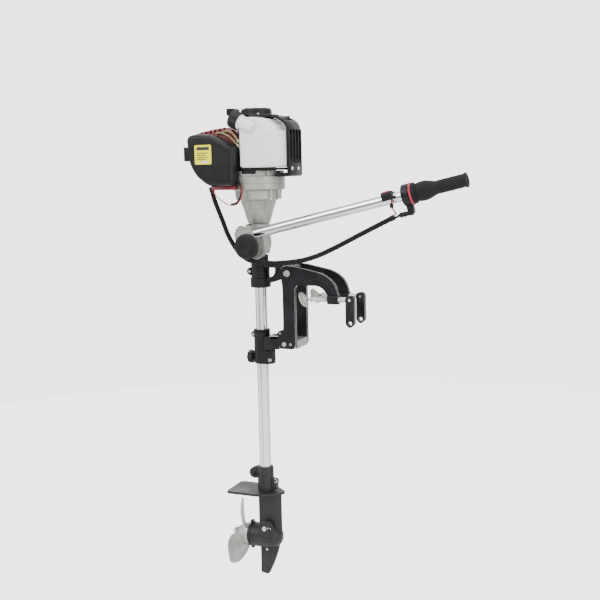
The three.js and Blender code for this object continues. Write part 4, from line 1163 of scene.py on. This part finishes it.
def make_bottom_end():
    profile = [(13.4, 263), (23.6, 263), (24.5, 264), (31, 288), (37.8, 312), (39.5, 313.8),
        (48.6, 315), (50, 316.4), (51.6, 333.6), (53.4, 335.4), (57.8, 337), (59, 338.2), (59, 349),
        (58.2, 349.6), (58.2, 351), (59, 351.6), (59, 365), (58, 366), (45, 366), (45, 316),
        (32, 313), (24, 290), (13.4, 286)]
    rib = [(25, 270), (30.6, 286), (37, 308), (40, 314), (34, 314), (22, 268)]
    bosses = ((42, -28), (52, -8))
    parts = [lathe(profile, sides=96, loop=True),
        *round_shaft(lambda: prism(rib, -1.6, 1.6, edge=0.7), ((k + 0.38) / 6 for k in range(6))),
        *[bar((x, y, 318), (x, y, 338), 6, 1, 32) for x, y in bosses]]
    shown("clutch_housing", "cast_grey", parts)
    screws = [cap_screw((x, y, 318), -Z, 3.6, 3) for x, y in bosses]
    piece("clutch_housing_screws", "steel", screws)
    tray = both_sides([(-12, -58, 6), (80, -58, 16)])
    parts = [prism(tray, 378, 383, "xy", edge=1.2), box((-11, 20), (-59, -50), (371, 378.5), 1)]
    piece("engine_tray", "dull_plastic", parts)


def neck_point(distance):
    return tuple(Vector(NECK_BASE) + Vector(NECK_DIR) * distance)


def tank_row(height):
    """The tank's horseshoe outline at one height, inside its rounded rims and its sloping front."""
    slope = [(300, 83), (457, 83), (460, 78), (462, 70), (474, 62), (484.5, 48), (490, 30)]
    front = next(fa + (fb - fa) * (height - za) / (zb - za) for (za, fa),
        (zb, fb) in zip(slope, slope[1:]) if height <= zb)
    rim = 6
    reach = min(1, (height - TANK["bottom"]) / rim, (TANK["top"] - height) / rim)
    inset = rim * (1 - sqrt(1 - (1 - reach) ** 2)) * 0.9 - (0.7 if abs(height - 437) < 1.1 else 0)
    side, back, inside = TANK["side"] - inset, TANK["back"] + inset, 47 + inset
    front -= inset
    notch = min(44, front - 6)
    plan = [(back, -side, 8), (front, -side, 26), (front, side, 26), (back, side, 8),
        (back, inside, 5), (notch, inside, 12), (notch, -inside, 12), (back, -inside, 5)]
    return [(x, y, height) for x, y in rounded(plan)]


def make_tank():
    low, high = TANK["bottom"], TANK["top"]
    heights = [low, low + 0.4, low + 1.2, low + 2.4, low + 4, low + 6, 410, 435.8, 436.1, 437.9,
        438.2, 448, 457, 458.5, 460, 461, 462, 465, 468, 471, 474, 477, 480, 482.5, 484.5, 486,
        487.4, 488.6, 489.5, high]
    neck = lathe([(0, -14), (15, -14), (15, 20), (16.4, 20.6), (16.4, 22), (15, 22.6), (13.6, 26),
        (0, 26)], neck_point(0), NECK_DIR, 64)
    piece("tank_fine", "tank", [skin(bmesh.new(), [tank_row(h) for h in heights]), neck],
        replaces="fuel_tank", angle=40)
    layers = [(h, CAP_R * scale, CAP_R * scale * 0.018 * tooth) for h, scale,
        tooth in ((22.6, 0.95, 0), (23.6, 1, 1), (39, 1, 1), (41.4, 0.975, 0.6), (43, 0.92, 0),
        (43, 0.64, 0), (44.2, 0.62, 0), (45, 0.58, 0))]
    shown("fuel_cap", "plastic", fluted(layers, 36, 144, NECK_BASE, NECK_DIR), "filler_cap")


def make_tank_guard():
    shell = [(50, 495.5, 2), (59, 491.5, 5), (72, 487, 6), (83, 479.5, 6), (88.5, 468, 6),
        (89, 452), (89, 364, 3), (60, 364, 1), (60, 372, 1), (84.5, 372, 2), (84.5, 452),
        (84, 466, 5), (79.5, 475.5, 5), (70, 482.5, 5), (57, 487.5, 5), (50, 489.5)]
    cuts = [box((66, 77), (-26, 26), (470, 510), 0)]
    cuts += [box((80, 96), (y - 5, y + 5), (400, 462), 0) for y in (-24, -8, 8, 24)]
    shown("tank_guard", "plastic", prism(shell, -34, 34), cuts=cuts, soft=1)
    parts = [box((88, 91.5), (-34, 34), (366, 393), 1.2)]
    parts += [box((88, 91), (y - 2, y + 2), (392, 464), 1) for y in (-32, -16, 0, 16, 32)]
    parts += [box((50, 66), (y - 1.2, y + 1.2), (488, 494), 0.8) for y in (-30, 30)]
    piece("tank_guard_ribs", "plastic", parts)
    screws = [lathe([(0, 2.2), (2.6, 1.9), (4, 0), (0, 0)], (91.5, y, 381), X, 28)
        for y in (-22, 12)]
    piece("tank_guard_screws", "steel", screws)


def make_rope():
    """The starter rope: a short straight length from the cover towards the pull handle."""
    line = [(-34 - 0.55 * k, 0, 503) for k in range(25)]
    bending("starter_rope_fine", sweep(line, ROPE_R, 18), "hose",
        "starter_rope")


def make_starter():
    profile = [(0, 511), (12, 511), (12.6, 510.2), (14.4, 510.2), (15, 511), (28.4, 511), (31, 510),
        (33, 507.5), (34, 498.6), (35.2, 497.2), (44.5, 496.5), (46.2, 495.6), (48, 491),
        (47.6, 490.3), (0, 490.3)]
    cuts = [bar(neck_point(-6), neck_point(60), 22, 0.1), bar((-60, 0, 503), (-20, 0, 503), 3.2,
        0.1)]
    shown("starter_cover", "plastic", lathe(profile, sides=80), cuts=cuts)
    fins = round_shaft(lambda: box((17, 31), (-1.1, 1.1), (509.4, 511.6), 0.6),
        ((k + 0.5) / 8 for k in range(8)))
    piece("starter_cover_ribs", "plastic", fins)
    screws = [cap_screw((40 * cos(a), 40 * sin(a), 496.4), Z, 2.8, 2.4)
        for a in (radians(d) for d in (-60, 10, 75))]
    piece("starter_cover_screws", "steel", screws)
    grip = [(-59.5, -30, 5), (-47, -30, 5), (-47, 16, 5), (-59.5, 16, 5)]
    parts = [prism(grip, 497, 512, "xy", edge=3.4, segments=5),
        box((-48, -45.3), (-6, 6), (498.5, 508), 1.2)]
    parts += [box((-60.1, -46.4), (y - 0.9, y + 0.9), (500.5, 508.5), 0.6)
        for y in (-24, -19, 5, 10)]
    shown("recoil_handle", "rubber", parts, "pull_handle")
    make_rope()


def make_shroud():
    outline = [(-139, 454, 14), (-137, 402, 12), (-129, 384, 12), (-116, 366, 12), (-98, 351, 10),
        (-82, 337, 8), (-26, 337, 2), (-26, 455, 4), (-37, 466, 6), (-50, 472, 12), (-88, 468, 20),
        (-124, 461, 12)]
    layers = dome(-46, -39, 0.955) + list(reversed(dome(58, 51, 0.955)))
    cuts = [box((-124 + 11 * k, -119 + 11 * k), (-60, -33), (459, 480), 0) for k in range(7)]
    cuts += [well(330, 480, 41.5, 64), well(320, 378, 60, 64)]
    shown("engine_shroud", "crimson", crown(outline, layers), cuts=cuts, soft=0.7)
    lip = box((-82, -24), (-66, -43), (337.3, 347), 2)
    piece("engine_shroud_lip", "crimson", lip, cuts=[well(320, 378, 60, 64)])


def make_muffler_guard():
    outline = [(-132, 452, 10), (-128, 402, 10), (-121, 384, 14), (-109, 366, 14), (-92, 353, 10),
        (-80, 346, 6), (-20, 346, 8), (-17, 427, 8), (-29, 434, 8), (-53, 446, 12), (-70, 454, 12),
        (-89, 457.5, 14), (-118, 457.5, 12)]
    layers = dome(-84, -70, 0.84, 10) + [(-47, 1), (-46.3, 0.99)]
    flange = well(320, 378, 60, 64)
    shown("muffler_guard", "plastic", crown(outline, layers), cuts=[flange], angle=50)
    piece("muffler_guard_lug", "plastic", box((-140.5, -124), (-76, -60), (400.5, 430.5), 0),
        cuts=[box((-150, -118), (-73, -63), (405, 426), 0)], soft=1)
    label = [(-109, 393, 3), (-69, 393, 3), (-69, 434, 3), (-109, 434, 3)]
    parts = [(prism(label, -84.35, -84.02), 0)]
    parts.append((box((-104, -74), (-84.5, -84.3), (423, 430), 0), 2))
    parts += [(box((-104, -76 - 6 * (k % 2)), (-84.5, -84.3), (416 - 4.4 * k, 417.6 - 4.4 * k), 0),
        2) for k in range(4)]
    parts.append((prism([(-92, 395.5), (-76, 395.5), (-84, 402.5)], -84.5, -84.3), 1))
    piece("yellow_label", ["sticker", "sticker_white", "ink"], parts)


def make_air_cleaner():
    outline = [(-104, 380, 12), (-20, 380, 12), (-20, 456, 14), (-104, 456, 14)]
    layers = [(58.3, 1), *reversed(dome(97, 86, 0.88))]
    parts = [crown(outline, layers), ring(9, 2, 96, 99.4, (-62, 0, 418), Y, 0.8, 40)]
    parts += [box((-98, -26), (90, 97.4), (z, z + 2), 0.7) for z in (392, 402, 432, 442)]
    shown("air_cleaner", "plastic", parts)


make_bottom_end()
make_tank()
make_tank_guard()
make_starter()
make_shroud()
make_muffler_guard()
make_air_cleaner()


# ---------------------------------------------------------------- CAD nodes that stay as they are

KEPT = {
    "cast_grey": ["crankcase", "cylinder", "carburettor", "piston", "flywheel"],
    "steel": ["drive_shaft", "clutch_drum", "crankshaft"],
    "cast_black": ["clutch_rotor"],
    "bronze": ["drive_pinion", "driven_gear"],
    "muffler": ["muffler"],
}
for key, names in KEPT.items():
    for name in names:
        for slot in frame["nodes"][name].material_slots:
            slot.material = M[key]
